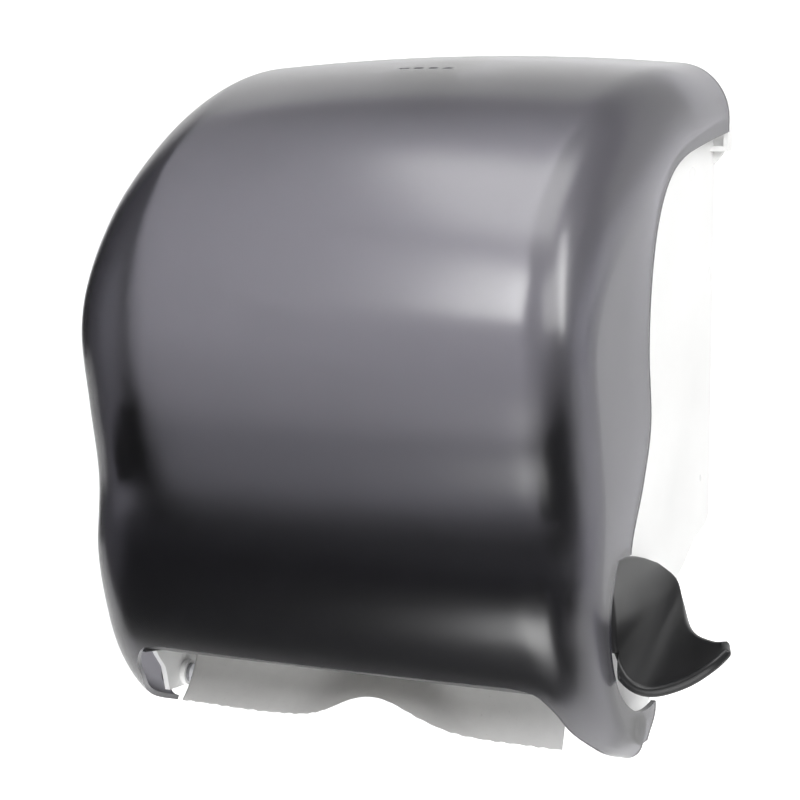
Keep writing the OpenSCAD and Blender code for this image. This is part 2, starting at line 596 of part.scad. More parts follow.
module sector_gear() {
    step = 360 / gear_teeth;
    low = mesh_a - 12.5 * step;
    high = mesh_a + 2.5 * step;
    color(snow) difference() {
        union() {
            side(gear_x, gear_x + gear_b) translate(lever_at) polygon(concat(
                [8 * [cos(high + 90), sin(high + 90)]],
                [for (i = [2:-1:-12], j = [13:-1:0]) tooth(gear_teeth, mesh_a + (i - 0.5) * step)[j]],
                [8 * [cos(low - 90), sin(low - 90)]]));
            rod(lever_at, 10, gear_x, gear_x + gear_b);
            side(gear_x, gear_x + gear_b) translate(lever_at) polygon([[-2, 8], [-2, -8.4],
                spring_arm + [-3.5, 0], spring_arm + [4, 0], spring_arm + [4, 4]]);
        }
        rod(lever_at, lever_shaft_r, gear_x - 1, gear_x + gear_b + 1);
    }
}
module lever_shaft() { color(silver) rod(lever_at, lever_shaft_r, plate_in - 0.2, half_w - 6); }
module lever_screw() {
    color(silver) {
        rod(lever_at, 4.2, plate_in - 2, plate_in - 0.2);
    }
}
module lever_return_spring() {
    color(silver) translate([spring_x, spring_post_y, spring_low + gap])
        coil(1.9, 0.5, lever_at[1] + spring_arm[1] - spring_low - 2 * gap, 9);
}

// ---------- lever ----------
// the scoop's front edge and rear edge, as [X beyond the cover's side, Y, Z]
tip = lever_reach;
lever_front = [[-7, -153, -69], [-3.5, -157.5, -80], [-1.2, -159, -94], [0, -159.5, -109], [6, -160, -120],
    [16, -160, -123.3], [31, -159, -118], [tip - 9, -157.5, -109.8], [tip - 1, -154, -102.5]];
lever_rear = [[-5.5, -91, -79], [-3.5, -88, -80.8], [2, -87.5, -84.4], [6, -90, -88], [10.5, -98, -94],
    [17, -112, -100.4], [26, -125, -103.5], [tip - 13, -140, -102.3], [tip - 5.5, -148, -100.3]];
// point on the scoop's face, u along the hook from 0 to 8, v from front 0 to rear 1
function scoop(u, v) = let (f = along(lever_front, u), b = along(lever_rear, u), dip = 2.2 * sin(180 * v)
    * sin(180 * u / 8)) f + (b - f) * v + [-dip * 0.5, 0, 3.5 * sin(180 * v) * max(0, 1 - u) - dip];
function scoop_normal(u, v) = let (e = 0.05, u0 = max(0, u - e), u1 = min(8, u + e), v0 = max(0, v - e),
    v1 = min(1, v + e)) unit(cross3(scoop(u1, v) - scoop(u0, v), scoop(u, v1) - scoop(u, v0)));
function scoop_place(u, v, d) = let (p = scoop(u, v) - d * scoop_normal(u, v)) [half_w + p[0], p[1], p[2]];
module lever_paddle() {
    us = [for (u = [0:0.5:8]) u];
    vs = [0, 0.15, 0.35, 0.6, 0.85, 1];
    face = [for (u = us, v = vs) scoop_place(u, v, 0)];
    back = [for (u = us, v = vs) scoop_place(u, v, min(2.4 + 2.2 * u, lever_t * (1 - 0.2 * pow(u / 8, 3))))];
    color(ink) difference() {
        union() {
            skin(face, back, len(us), len(vs));
            rod(lever_at, 13, wall_out + 1, half_w - 3.4);
        }
        rod(lever_at, lever_shaft_r, wall_out, half_w - 6);
        // the lip's inner end stays outside the cover's wall, so that the open cover clears it
        translate([half_w - 12, lever_at[0] - 60, lever_at[1] - 40]) cube([12.3, 26.5, 26]);
    }
}

back_housing();
frame_left();
frame_right();
frame_bridge();
front_beam();
roller_guard();
towel_guide();
tear_bar();
tear_bar_screws();
frame_screws();
roller_bush_left();
roller_bush_right();
lever_bush();
carrier_rod();
hinge_pin_left();
hinge_pin_right();
arm_pin_left();
arm_pin_right();
front_cover();
latch();
latch_spring();
roll_arm_left();
roll_arm_right();
arm_spring_left();
arm_spring_right();
roll_core();
towel_roll();
towel_sheet();
roller_shaft();
roller_body();
roller_grips();
feed_wheel();
roller_pinion();
roller_clutch();
pinch_carrier();
pinch_shaft();
pinch_roller();
pinch_springs();
lever_paddle();
lever_shaft();
sector_gear();
lever_screw();
lever_return_spring();
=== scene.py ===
"""Dresses the lever paper towel dispenser: moulded plastics, springs, paper and the studio.

Lengths are in millimetres unless a comment says otherwise. X runs along the cover's width, the
front faces -Y and Z is up.
"""

import json
import logging
import math
from collections.abc import Iterator
from contextlib import contextmanager
from dataclasses import dataclass
from enum import Enum

import bmesh
import bpy
import numpy as np
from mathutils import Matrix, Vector

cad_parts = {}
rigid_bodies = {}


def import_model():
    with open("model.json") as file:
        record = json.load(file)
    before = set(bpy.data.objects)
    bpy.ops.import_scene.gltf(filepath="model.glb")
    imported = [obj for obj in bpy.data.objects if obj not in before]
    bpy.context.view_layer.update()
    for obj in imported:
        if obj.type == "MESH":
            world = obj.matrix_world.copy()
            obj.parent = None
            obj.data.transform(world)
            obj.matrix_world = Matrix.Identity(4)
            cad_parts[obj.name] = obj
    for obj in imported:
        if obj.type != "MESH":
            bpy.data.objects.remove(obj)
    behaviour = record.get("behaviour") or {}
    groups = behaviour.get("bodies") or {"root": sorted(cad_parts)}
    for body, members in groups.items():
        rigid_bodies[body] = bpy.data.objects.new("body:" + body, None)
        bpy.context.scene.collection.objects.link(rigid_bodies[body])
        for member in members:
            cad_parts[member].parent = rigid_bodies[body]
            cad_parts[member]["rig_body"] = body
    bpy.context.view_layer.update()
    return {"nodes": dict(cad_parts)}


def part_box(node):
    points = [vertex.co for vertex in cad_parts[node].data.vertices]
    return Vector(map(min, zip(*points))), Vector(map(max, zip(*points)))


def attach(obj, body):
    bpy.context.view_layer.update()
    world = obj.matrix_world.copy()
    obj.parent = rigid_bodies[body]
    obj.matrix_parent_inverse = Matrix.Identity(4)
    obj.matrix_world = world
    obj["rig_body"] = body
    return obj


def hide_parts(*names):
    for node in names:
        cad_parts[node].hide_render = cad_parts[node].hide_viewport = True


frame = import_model()
log = logging.getLogger("dispenser")

MM = 0.001
HALF_W = 132.5  # half the cover's width
LEVER_AT = (-117.0, -95.0)  # the lever shaft's Y and Z
ROLL_AT = (-103.5, 40.0)  # the towel roll's Y and Z
WELD = 2e-6  # metres; points nearer than this are one
NOISE_BULK = (0.3, 0.7)  # most values of a noise lie between these
PLASTIC_IOR = 1.5
WHITE = (1.0, 1.0, 1.0, 1.0)

Socket = bpy.types.NodeSocket
Piece = bpy.types.Object
Pair = tuple[float, float]
Outline = tuple[tuple[float, ...], ...]


# ---- colour and nodes
def hex_colour(code: str) -> tuple[float, float, float, float]:
    """Turns an sRGB hex value into linear colour.

    A part c becomes c / 12.92 up to 0.04045, and ((c + 0.055) / 1.055) ** 2.4 above it.

    Args:
        code: six hex digits, as in "8a8990".

    Returns:
        Red, green, blue and 1, linear.
    """
    parts = [int(code[i:i + 2], 16) / 255 for i in (0, 2, 4)]
    line = [c / 12.92 if c <= 0.04045 else ((c + 0.055) / 1.055) ** 2.4 for c in parts]
    return (*line, 1.0)


@dataclass
class Nodes:
    """A material's or the world's node tree, with the steps that finishes share."""

    tree: bpy.types.NodeTree

    def put(self, kind: str, feeds: dict | None = None, **settings) -> bpy.types.Node:
        """Adds one node, sets its properties and fills its inputs.

        Args:
            kind: the node's type, such as "Mapping" for ShaderNodeMapping.
            feeds: for each input, by name or number, a socket to link or a value to hold.
            settings: the node's own properties.

        Returns:
            The new node.
        """
        node = self.tree.nodes.new("ShaderNode" + kind)
        for name, value in settings.items():
            setattr(node, name, value)
        for name, source in (feeds or {}).items():
            if isinstance(source, Socket):
                self.tree.links.new(source, node.inputs[name])
            else:
                node.inputs[name].default_value = source
        return node

    def noise(self, point: Socket, size_mm: float, detail: float, rough: float = 0.5) -> Socket:
        """Returns a noise from 0 to 1 with spots about size_mm wide; rough weighs its detail."""
        return self.put("TexNoise", {"Vector": point, "Scale": 1 / (size_mm * MM), "Detail": detail,
                                     "Roughness": rough}).outputs["Fac"]

    def blend(self, share: Socket, one: Socket | str, other: str) -> Socket:
        """Returns a colour that goes from one to the other as share goes from 0 to 1."""
        first = hex_colour(one) if isinstance(one, str) else one
        return self.put("Mix", {0: share, 6: first, 7: hex_colour(other)},
                        data_type="RGBA").outputs[2]

    def spread(self, value: Socket, old: Pair, new: Pair) -> Socket:
        """Returns a value carried from its old range to a new one, and held at the ends."""
        return self.put("MapRange", {"Value": value, "From Min": old[0], "From Max": old[1],
                                     "To Min": new[0], "To Max": new[1]}).outputs[0]

    def combine(self, how: str, one: Socket, other: Socket | float) -> Socket:
        """Returns two values put together: MULTIPLY, ADD or MAXIMUM."""
        return self.put("Math", {0: one, 1: other}, operation=how).outputs[0]

    def bumps(self, height: Socket, strength: float, depth_mm: float) -> Socket:
        """Returns a normal tilted as if the surface rose by depth_mm as height goes to 1."""
        return self.put("Bump", {"Height": height, "Strength": strength,
                                 "Distance": depth_mm * MM}).outputs[0]

    def either(self, share: Socket | float, one: Socket, other: Socket) -> Socket:
        """Returns a shader that goes from one to the other as share goes from 0 to 1."""
        return self.put("MixShader", {0: share, 1: one, 2: other}).outputs[0]

    def principled(self, colour: Socket, rough: Socket | float, normal: Socket, **more) -> Socket:
        """Returns a Principled surface; more holds its other inputs, with _ for each space."""
        feeds = {"Base Color": colour, "Roughness": rough, "Normal": normal}
        feeds |= {name.replace("_", " "): value for name, value in more.items()}
        return self.put("BsdfPrincipled", feeds).outputs[0]


def emptied(owner: bpy.types.ID) -> Nodes:
    """Returns a material's or the world's node tree with nothing in it."""
    owner.use_nodes = True
    owner.node_tree.nodes.clear()
    return Nodes(owner.node_tree)


# ---- finishes
@dataclass(frozen=True)
class Finish:
    """A finish of the real object: a material and how its surface was made."""

    name: str
    slot: str = ""  # the record's material slot

    def shade(self, n: Nodes, point: Socket) -> Socket:
        """Adds the finish's nodes.

        Args:
            n: the material's nodes.
            point: the place on the piece, in metres.

        Returns:
            The shader's output socket.
        """
        raise NotImplementedError

    def source(self, place: bpy.types.Node) -> Socket:
        """Returns the coordinates that the finish reads: the piece's own."""
        return place.outputs["Object"]

    def make(self) -> bpy.types.Material:
        """Returns the finish as a material, made once."""
        material = bpy.data.materials.get(self.name)
        if not material:
            material = bpy.data.materials.new(self.name)
            n = emptied(material)
            surface = self.shade(n, self.source(n.put("TexCoord")))
            n.put("OutputMaterial", {"Surface": surface})
        return material

    def dress(self, obj: Piece) -> Piece:
        """Puts the finish on every face of a piece and returns the piece."""
        obj.data.materials.clear()
        obj.data.materials.append(self.make())
        return obj


@dataclass(frozen=True)
class MouldedPlastic(Finish):
    """Injection moulded plastic: even colour, fine spark-eroded grain, flow marks in its gloss."""

    colour: str = "f2f2f1"
    deep: str = "e9e9e8"
    rough: float = 0.35
    rough_spread: float = 0.08
    grain_mm: float = 0.5  # real grain is about 0.1 mm; drawn coarser so that it shows
    grain_depth_mm: float = 0.02
    flow_mm: float = 45.0
    edge: float = 0.0  # how much lighter rounded edges are painted: a painted highlight
    highlight_colour: str = "8c8c90"  # the painted highlight's colour that rounded edges turn to

    def painted_edge_highlight(self, n: Nodes, flow: Socket, colour: Socket) -> Socket:
        """Returns the colour with a painted edge highlight, where a wide bevel turns from the face.
        """
        soft = n.put("Bevel", {"Radius": 1.2 * MM}, samples=4)
        flat = n.put("NewGeometry")
        turn = n.put("VectorMath", {0: soft.outputs[0], 1: flat.outputs["Normal"]},
                     operation="DOT_PRODUCT")
        # painted highlight: the colour lightens where the bevel's normal turns from the face
        highlight_share = n.spread(turn.outputs["Value"], (0.99, 0.8), (0.0, self.edge))
        return n.blend(n.combine("MULTIPLY", highlight_share, flow), colour, self.highlight_colour)

    def shade(self, n: Nodes, point: Socket) -> Socket:
        """See Finish.shade."""
        flow = n.noise(point, self.flow_mm, 2.0)
        grain = n.noise(point, self.grain_mm, 2.0, 0.6)
        colour = n.blend(flow, self.colour, self.deep)
        # a painted highlight on rounded edges
        if self.edge > 0:
            colour = self.painted_edge_highlight(n, flow, colour)
        gloss = (self.rough - self.rough_spread, self.rough + self.rough_spread)
        return n.principled(colour, n.spread(flow, NOISE_BULK, gloss),
                            n.bumps(grain, 0.5, self.grain_depth_mm), IOR=PLASTIC_IOR)


class Face(Enum):
    """Which face of the cover a smoky finish is on: each has its own polish."""

    OUTSIDE = "polished"
    INSIDE = "matt"
    RIM = "edge"


@dataclass(frozen=True)
class SmokyPlastic(Finish):
    """Smoke tinted SAN, moulded: see-through grey, polished outside, matt inside so that what is
    behind it blurs, and near black along its edges, where the eye looks along the wall."""

    face: Face = Face.OUTSIDE
    rough: float = 0.25
    tint: str = "b4b3b8"  # what is left of white after one wall
    edge: str = "34333a"
    lamp_tint: str = "e5e5e7"  # what is left of a lamp's light after one wall
    wave_mm: float = 30.0  # slow waves of the mould's polish
    dust_mm: float = 0.6  # a trace of dust

    def shade(self, n: Nodes, point: Socket) -> Socket:
        """See Finish.shade."""
        relief = n.bumps(n.noise(point, self.wave_mm, 1.0), 0.3, 0.1)
        dust = n.noise(point, self.dust_mm, 2.0)
        rough = n.spread(dust, NOISE_BULK, (self.rough * 0.96, self.rough * 1.04))
        if self.face is Face.RIM:
            return n.principled(hex_colour(self.edge), rough, relief, IOR=1.57)
        if self.face is Face.OUTSIDE:
            body = n.principled(hex_colour(self.tint), rough, relief, IOR=PLASTIC_IOR,
                                Transmission_Weight=1.0)
        else:
            body = n.put("BsdfRefraction", {"Color": hex_colour(self.tint), "Roughness": rough,
                                            "Normal": relief, "IOR": PLASTIC_IOR}).outputs[0]
        thin = n.put("BsdfTransparent", {"Color": hex_colour(self.lamp_tint)}).outputs[0]
        return n.either(n.put("LightPath").outputs["Is Shadow Ray"], body, thin)


@dataclass(frozen=True)
class MetalWork(Finish):
    """Drawn, turned or rolled steel: grey, softly brushed along its length, cloudy patches."""

    colour: str = "b9babd"
    deep: str = "9a9b9f"
    rough: float = 0.32
    stretch: tuple[float, float, float] = (0.06, 1.0, 1.0)  # brushing runs along X
    brush_mm: float = 0.35
    cloud_mm: float = 9.0

    def shade(self, n: Nodes, point: Socket) -> Socket:
        """See Finish.shade."""
        along = n.put("Mapping", {"Vector": point, "Scale": self.stretch})
        brush = n.noise(along.outputs[0], self.brush_mm, 3.0)
        cloud = n.noise(point, self.cloud_mm, 2.0)
        rough = n.spread(brush, (0.0, 1.0), (self.rough - 0.08, self.rough + 0.1))
        return n.principled(n.blend(cloud, self.colour, self.deep), rough,
                            n.bumps(brush, 0.3, 0.02), Metallic=1.0)


@dataclass(frozen=True)
class GripRubber(Finish):
    """Moulded EPDM rubber: dark, dull, with a ground pebble grain and paper dust in it."""

    colour: str = "303033"
    dust: str = "5d5d60"
    pebble_mm: float = 0.8
    patch_mm: float = 7.0

    def shade(self, n: Nodes, point: Socket) -> Socket:
        """See Finish.shade."""
        pebble = n.put("TexVoronoi", {"Vector": point, "Scale": 1 / (self.pebble_mm * MM)})
        dusty = n.spread(n.noise(point, self.patch_mm, 4.0), (0.5, 0.75), (0.0, 0.5))
        return n.principled(n.blend(dusty, self.colour, self.dust), 0.75,
                            n.bumps(pebble.outputs["Distance"], 0.5, 0.15), IOR=PLASTIC_IOR)


@dataclass(frozen=True)
class TubeBoard(Finish):
    """Spiral wound grey board: matt brown-grey, its strip's seams at a slant, short fibres."""

    colour: str = "a8926f"
    deep: str = "8d7858"
    seam_mm: float = 60.0
    fibre_mm: float = 1.0

    def shade(self, n: Nodes, point: Socket) -> Socket:
        """See Finish.shade."""
        slant = n.put("Mapping", {"Vector": point, "Rotation": (0.0, 0.0, 0.6)})
        scale = 1 / (self.seam_mm * MM) / 2 / math.pi
        seam = n.put("TexWave", {"Vector": slant.outputs[0], "Scale": scale, "Distortion": 0.3},
                     wave_profile="SAW")
        fibre = n.noise(point, self.fibre_mm, 5.0)
        share = n.combine("MULTIPLY", seam.outputs["Fac"], fibre)
        return n.principled(n.blend(share, self.colour, self.deep), 0.85, n.bumps(fibre, 0.4, 0.05))


@dataclass(frozen=True)
class TowelPaper(Finish):
    """Recycled kraft towel, creped: soft light grey with small dark flecks of pulp, fine crepe
    lines across the web and a shallow felt mark. It reads the sheet's map, Y along the web."""

    colour: str = "e2e2e1"
    deep: str = "d3d3d3"
    fleck: str = "8b8988"
    inside: str = "dcdbd9"  # the light that comes through it
    thin: float = 0.42  # the share of its light that comes through
    felt_mm: float = 6.0
    pulp_mm: float = 1.5
    crepe_mm: float = 0.9  # real crepe is about 0.3 mm; drawn coarser so that it shows

    def source(self, place: bpy.types.Node) -> Socket:
        """Returns the sheet's own map, in metres."""
        return place.outputs["UV"]

    def shade(self, n: Nodes, point: Socket) -> Socket:
        """See Finish.shade."""
        felt = n.noise(point, self.felt_mm, 5.0)
        spot = n.spread(n.noise(point, self.pulp_mm, 3.0, 0.7), (0.66, 0.74), (0.0, 0.55))
        colour = n.blend(spot, n.blend(felt, self.colour, self.deep), self.fleck)
        lines = n.put("Mapping", {"Vector": point, "Scale": (0.18, 1.0, 1.0)})
        crepe = n.noise(lines.outputs[0], self.crepe_mm, 2.0)
        body = n.principled(colour, 0.9, n.bumps(n.combine("ADD", crepe, felt), 0.45, 0.1),
                            IOR=1.45, Specular_IOR_Level=0.25)
        through = n.put("BsdfTranslucent", {"Color": hex_colour(self.inside)})
        return n.either(self.thin, body, through.outputs[0])


@dataclass(frozen=True)
class WoundPaper(Finish):
    """The same towel wound on its core: its edges show as fine rings on the roll's ends."""

    colour: str = "e0dfdd"
    deep: str = "a9a8a6"
    ring_mm: float = 1.0
    cloud_mm: float = 5.0

    def shade(self, n: Nodes, point: Socket) -> Socket:
        """See Finish.shade."""
        y, z = ROLL_AT
        flat = n.put("Mapping", {"Vector": point, "Location": (0.0, -y * MM, -z * MM),
                                 "Scale": (0.0, 1.0, 1.0)})
        radius = n.put("VectorMath", {0: flat.outputs[0]}, operation="LENGTH")
        turns = n.put("CombineXYZ", {"X": radius.outputs["Value"]})
        rings = n.noise(turns.outputs[0], self.ring_mm, 3.0)
        share = n.combine("MULTIPLY", rings, n.noise(point, self.cloud_mm, 5.0))
        return n.principled(n.blend(share, self.colour, self.deep), 0.92, n.bumps(rings, 0.35, 0.1),
                            Specular_IOR_Level=0.25)


@dataclass(frozen=True)
class StudioWhite(Finish):
    """Matt white studio paint. What is seen of it, straight, mirrored or through the cover, glows
    by itself; the light that it throws on the object is only what the lamps give it."""

    colour: str = "f4f4f4"
    glow: float = 0.8

    def shade(self, n: Nodes, point: Socket) -> Socket:
        """See Finish.shade."""
        paint = n.put("BsdfDiffuse", {"Color": hex_colour(self.colour), "Roughness": 0.5})
        way = n.put("LightPath").outputs
        seen = n.combine("MAXIMUM", way["Is Camera Ray"], way["Is Transmission Ray"])
        seen = n.combine("MAXIMUM", seen, way["Is Glossy Ray"])
        strength = n.combine("MULTIPLY", seen, self.glow)
        glow = n.put("Emission", {"Color": WHITE, "Strength": strength})
        return n.put("AddShader", {0: paint.outputs[0], 1: glow.outputs[0]}).outputs[0]


# the housing: plain white, softly shining
WHITE_ABS = MouldedPlastic("white_abs_moulded", "white_plastic")
# the frame, guard and arms: black, dull, with a painted highlight on rounded edges
BLACK_ABS = MouldedPlastic("black_abs_moulded", "black_plastic", "1d1d20", "161618", rough=0.42,
                           rough_spread=0.06, edge=0.25)
# the lever: deeper black with a coarser grain and a stronger painted highlight on rounded edges
LEVER_ABS = MouldedPlastic("lever_abs_grained", "lever_plastic", "0e0e10", "0a0a0b", rough=0.42,
                           rough_spread=0.05, grain_mm=0.7, grain_depth_mm=0.045, edge=0.3)
# gears and bushes: creamy, slick
ACETAL = MouldedPlastic("acetal_moulded", "", "e6e5df", "d9d8d1", rough=0.3, rough_spread=0.05,
                        grain_mm=0.8, grain_depth_mm=0.01)
# the cover: shining smoke grey outside, blurring inside, dark along its edges
SMOKE_OUT = SmokyPlastic("smoky_san_polished", "smoky_plastic", Face.OUTSIDE)
SMOKE_IN = SmokyPlastic("smoky_san_matt", "smoky_plastic", Face.INSIDE, rough=0.62)
SMOKE_RIM = SmokyPlastic("smoky_san_rim", "smoky_plastic", Face.RIM)
# shafts and screws: pale brushed grey; springs: darker, unbrushed; the tear bar: brighter
PLATED = MetalWork("steel_zinc_plated")
SPRING_STEEL = MetalWork("spring_steel_drawn", "steel", "8f9094", "707176", 0.28, (1.0, 1.0, 1.0))
STAINLESS = MetalWork("stainless_strip", "steel", "c3c4c6", "adaeb1", 0.26)
# grips: dead black with dust; core: brown board; towel: soft grey, glowing against the light
RUBBER = GripRubber("epdm_rubber_moulded", "grip_rubber")
BOARD = TubeBoard("grey_board_wound")
TOWEL = TowelPaper("kraft_towel_creped", "towel_paper")
WOUND = WoundPaper("kraft_towel_wound", "towel_paper")


# ---- curves and meshes
def spline(points: np.ndarray, t: np.ndarray, column: np.ndarray | None = None) -> np.ndarray:
    """Catmull-Rom line through points, with its ends mirrored.

    Between b and c, with a before and d after them, it is
    0.5 (2b + (c - a) u + (2a - 5b + 4c - d) u^2 + (3b - a - 3c + d) u^3).

    Args:
        points: (n, k) points, or (n, columns, k) for a line in each column.
        t: places on the line, from 0 to n - 1.
        column: the column of each place, if there are columns.

    Returns:
        An array of t's shape with k more values.
    """
    p = np.asarray(points, float)
    p = np.concatenate([2 * p[:1] - p[1:2], p, 2 * p[-1:] - p[-2:-1]])
    i = np.clip(np.floor(t).astype(int), 0, len(p) - 4)
    u = (np.asarray(t, float) - i)[..., None]
    a, b, c, d = (p[i + k] if column is None else p[i + k, column] for k in range(4))
    return 0.5 * (2 * b + (c - a) * u + (2 * a - 5 * b + 4 * c - d) * u ** 2
                  + (3 * b - a - 3 * c + d) * u ** 3)


def unit(v: np.ndarray) -> np.ndarray:
    """Returns each vector divided by its length."""
    return v / np.maximum(np.linalg.norm(v, axis=-1, keepdims=True), 1e-12)


def full_turn(count: int) -> np.ndarray:
    """Returns a whole turn in radians as evenly spaced angles, the last short of the first."""
    return np.linspace(0, 2 * np.pi, count, endpoint=False)


def grid_quads(rows: int, cols: int, round_cols: bool = False,
               round_rows: bool = False) -> np.ndarray:
    """Faces of a grid of points: each is (r, c) (r, c+1) (r+1, c+1) (r+1, c).

    Args:
        rows: rows of points.
        cols: points in a row.
        round_cols: whether each row closes on itself.
        round_rows: whether the last row joins the first.

    Returns:
        (n, 4) point numbers.
    """
    number = np.arange(rows * cols).reshape(rows, cols)
    if round_cols:
        number = np.hstack([number, number[:, :1]])
    if round_rows:
        number = np.vstack([number, number[:1]])
    corners = [number[:-1, :-1], number[:-1, 1:], number[1:, 1:], number[1:, :-1]]
    return np.stack(corners, -1).reshape(-1, 4)


def tube_faces(rows: int, cols: int, first: int = 0) -> list[list[int]]:
    """Returns the faces of rings of points, joined and capped; first is the first point."""
    number = np.arange(rows * cols) + first
    sides = number[grid_quads(rows, cols, round_cols=True)]
    return sides.tolist() + [number[:cols].tolist(), number[:-cols - 1:-1].tolist()]


def place(name: str, data: bpy.types.ID) -> Piece:
    """Returns a new object that shows a mesh, a lamp or a camera, in the scene."""
    obj = bpy.data.objects.new(name, data)
    bpy.context.scene.collection.objects.link(obj)
    return obj


def smooth(obj: Piece, sharp: float) -> None:
    """Shades a piece smooth except at edges sharper than an angle in degrees."""
    obj.data.polygons.foreach_set("use_smooth", np.ones(len(obj.data.polygons), bool))
    obj.data.set_sharp_from_angle(angle=math.radians(sharp))
    obj.data.update()


@contextmanager
def welded(mesh: bpy.types.Mesh) -> Iterator[bmesh.types.BMesh]:
    """Opens a mesh for changes, with its doubled points made one, and writes it back."""
    work = bmesh.new()
    work.from_mesh(mesh)
    bmesh.ops.remove_doubles(work, verts=work.verts, dist=WELD)
    yield work
    work.to_mesh(mesh)
    work.free()


def solid(name: str, points: np.ndarray, faces: list | np.ndarray, closed: bool = True,
          sharp: float = 35.0, kinds: list[int] | None = None) -> Piece:
    """Makes a piece from points and faces, smooth shaded except at sharp edges.

    Args:
        name: the piece's name.
        points: its points, in an array of any shape whose last side is X, Y and Z.
        faces: point numbers of each face.
        closed: whether the mesh holds a volume, whose faces are then turned outwards.
        sharp: the angle in degrees past which an edge stays crisp.
        kinds: the material number of each face.

    Returns:
        The new object, in the scene.
    """
    mesh = bpy.data.meshes.new(name)
    metres = points.reshape(-1, 3) * MM
    mesh.from_pydata(metres.tolist(), [], [list(map(int, f)) for f in faces])
    if kinds is not None:
        mesh.polygons.foreach_set("material_index", kinds)
    with welded(mesh) as work:
        if closed and work.calc_volume(signed=True) < 0:
            bmesh.ops.reverse_faces(work, faces=work.faces)
    mesh.validate()
    obj = place(name, mesh)
    smooth(obj, sharp)
    return obj


def prism(name: str, outline: np.ndarray, axis: int, low: float, high: float) -> Piece:
    """Carries an outline straight along an axis: point = outline + axis * (low or high).

    Args:
        name: the piece's name.
        outline: (n, 2) points in the other two axes, in their order.
        axis: 0, 1 or 2.
        low: where it starts.
        high: where it ends.

    Returns:
        The closed piece.
    """
    ends = [np.insert(outline, axis, at, axis=1) for at in (low, high)]
    return solid(name, np.vstack(ends), tube_faces(2, len(outline)))


def turned(name: str, profile: np.ndarray, centre: Pair, count: int,
           grow: np.ndarray | float = 0.0, start: float = 0.0, sharp: float = 35.0) -> Piece:
    """Turns a closed profile round an axis along X: (x, r cos a, r sin a) + centre.

    Args:
        name: the piece's name.
        profile: (n, 2) points as X and radius, in order round the section.
        centre: the axis's Y and Z.
        count: points round the axis.
        grow: what is added to the radius, for each profile point and angle.
        start: the first angle in degrees.
        sharp: as for solid.

    Returns:
        The closed ring.
    """
    a = full_turn(count) + math.radians(start)
    radius = profile[:, 1:] + grow
    points = np.stack([np.repeat(profile[:, :1], count, 1), centre[0] + radius * np.cos(a),
                       centre[1] + radius * np.sin(a)], -1)
    return solid(name, points, grid_quads(len(profile), count, True, True), sharp=sharp)


def cut(obj: Piece, tool: Piece) -> None:
    """Cuts a tool's shape from a piece, works it into the mesh and throws the tool away."""
    step = obj.modifiers.new("cut", "BOOLEAN")
    step.object, step.operation, step.solver = tool, "DIFFERENCE", "EXACT"
    step.material_mode = "TRANSFER"
    bpy.context.view_layer.update()
    graph = bpy.context.evaluated_depsgraph_get()
    mesh = bpy.data.meshes.new_from_object(obj.evaluated_get(graph), depsgraph=graph)
    obj.modifiers.clear()
    obj.data = mesh
    bpy.data.objects.remove(tool)


def bevelled(obj: Piece, width_mm: float, angle: float = 40.0, kind: int = -1) -> Piece:
    """Rounds a piece's edges with a Bevel modifier.

    Args:
        obj: the piece.
        width_mm: the rounding's width.
        angle: the least angle of an edge that is rounded, in degrees.
        kind: the material number of the rounding, or -1 for its neighbours'.

    Returns:
        The piece.
    """
    step = obj.modifiers.new("edge", "BEVEL")
    step.width, step.segments, step.angle_limit = width_mm * MM, 2, math.radians(angle)
    step.limit_method, step.harden_normals, step.material = "ANGLE", True, kind
    step.miter_outer = "MITER_ARC"
    return obj


def settle(obj: Piece, body: str, slot: str, *nodes: str) -> None:
    """Makes a piece ride on a body and hides the CAD nodes that it stands for."""
    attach(obj, body)
    if nodes:
        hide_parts(*nodes)
    log.info("%s: %d faces, rides on %s, for %s", obj.name, len(obj.data.polygons), body,
             ", ".join(nodes) or "-")


def softened(finish: Finish, **edges: float) -> None:
    """Stands in for CAD nodes with copies whose edges are rounded, as a mould or press leaves them.

    Facets that meet at less than 0.6 degrees are first made one, and edges past 30 are rounded.

    Args:
        finish: the pieces' finish.
        edges: for each CAD node, the rounding's width.
    """
    for node, width in edges.items():
        source = frame["nodes"][node]
        mesh = source.data.copy()
        with welded(mesh) as work:
            bmesh.ops.dissolve_limit(work, angle_limit=math.radians(0.6), verts=work.verts,
                                     edges=work.edges, use_dissolve_boundaries=False)
        obj = finish.dress(place(node + "_moulded", mesh))
        smooth(obj, 30)
        bevelled(obj, width, 30)
        settle(obj, source["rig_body"], finish.slot, node)


def keep_nodes(finish: Finish, *nodes: str) -> None:
    """Leaves CAD nodes as they are and gives them a finish."""
    for node in nodes:
        finish.dress(frame["nodes"][node])
        log.info("%s: CAD node, finish %s", node, finish.name)


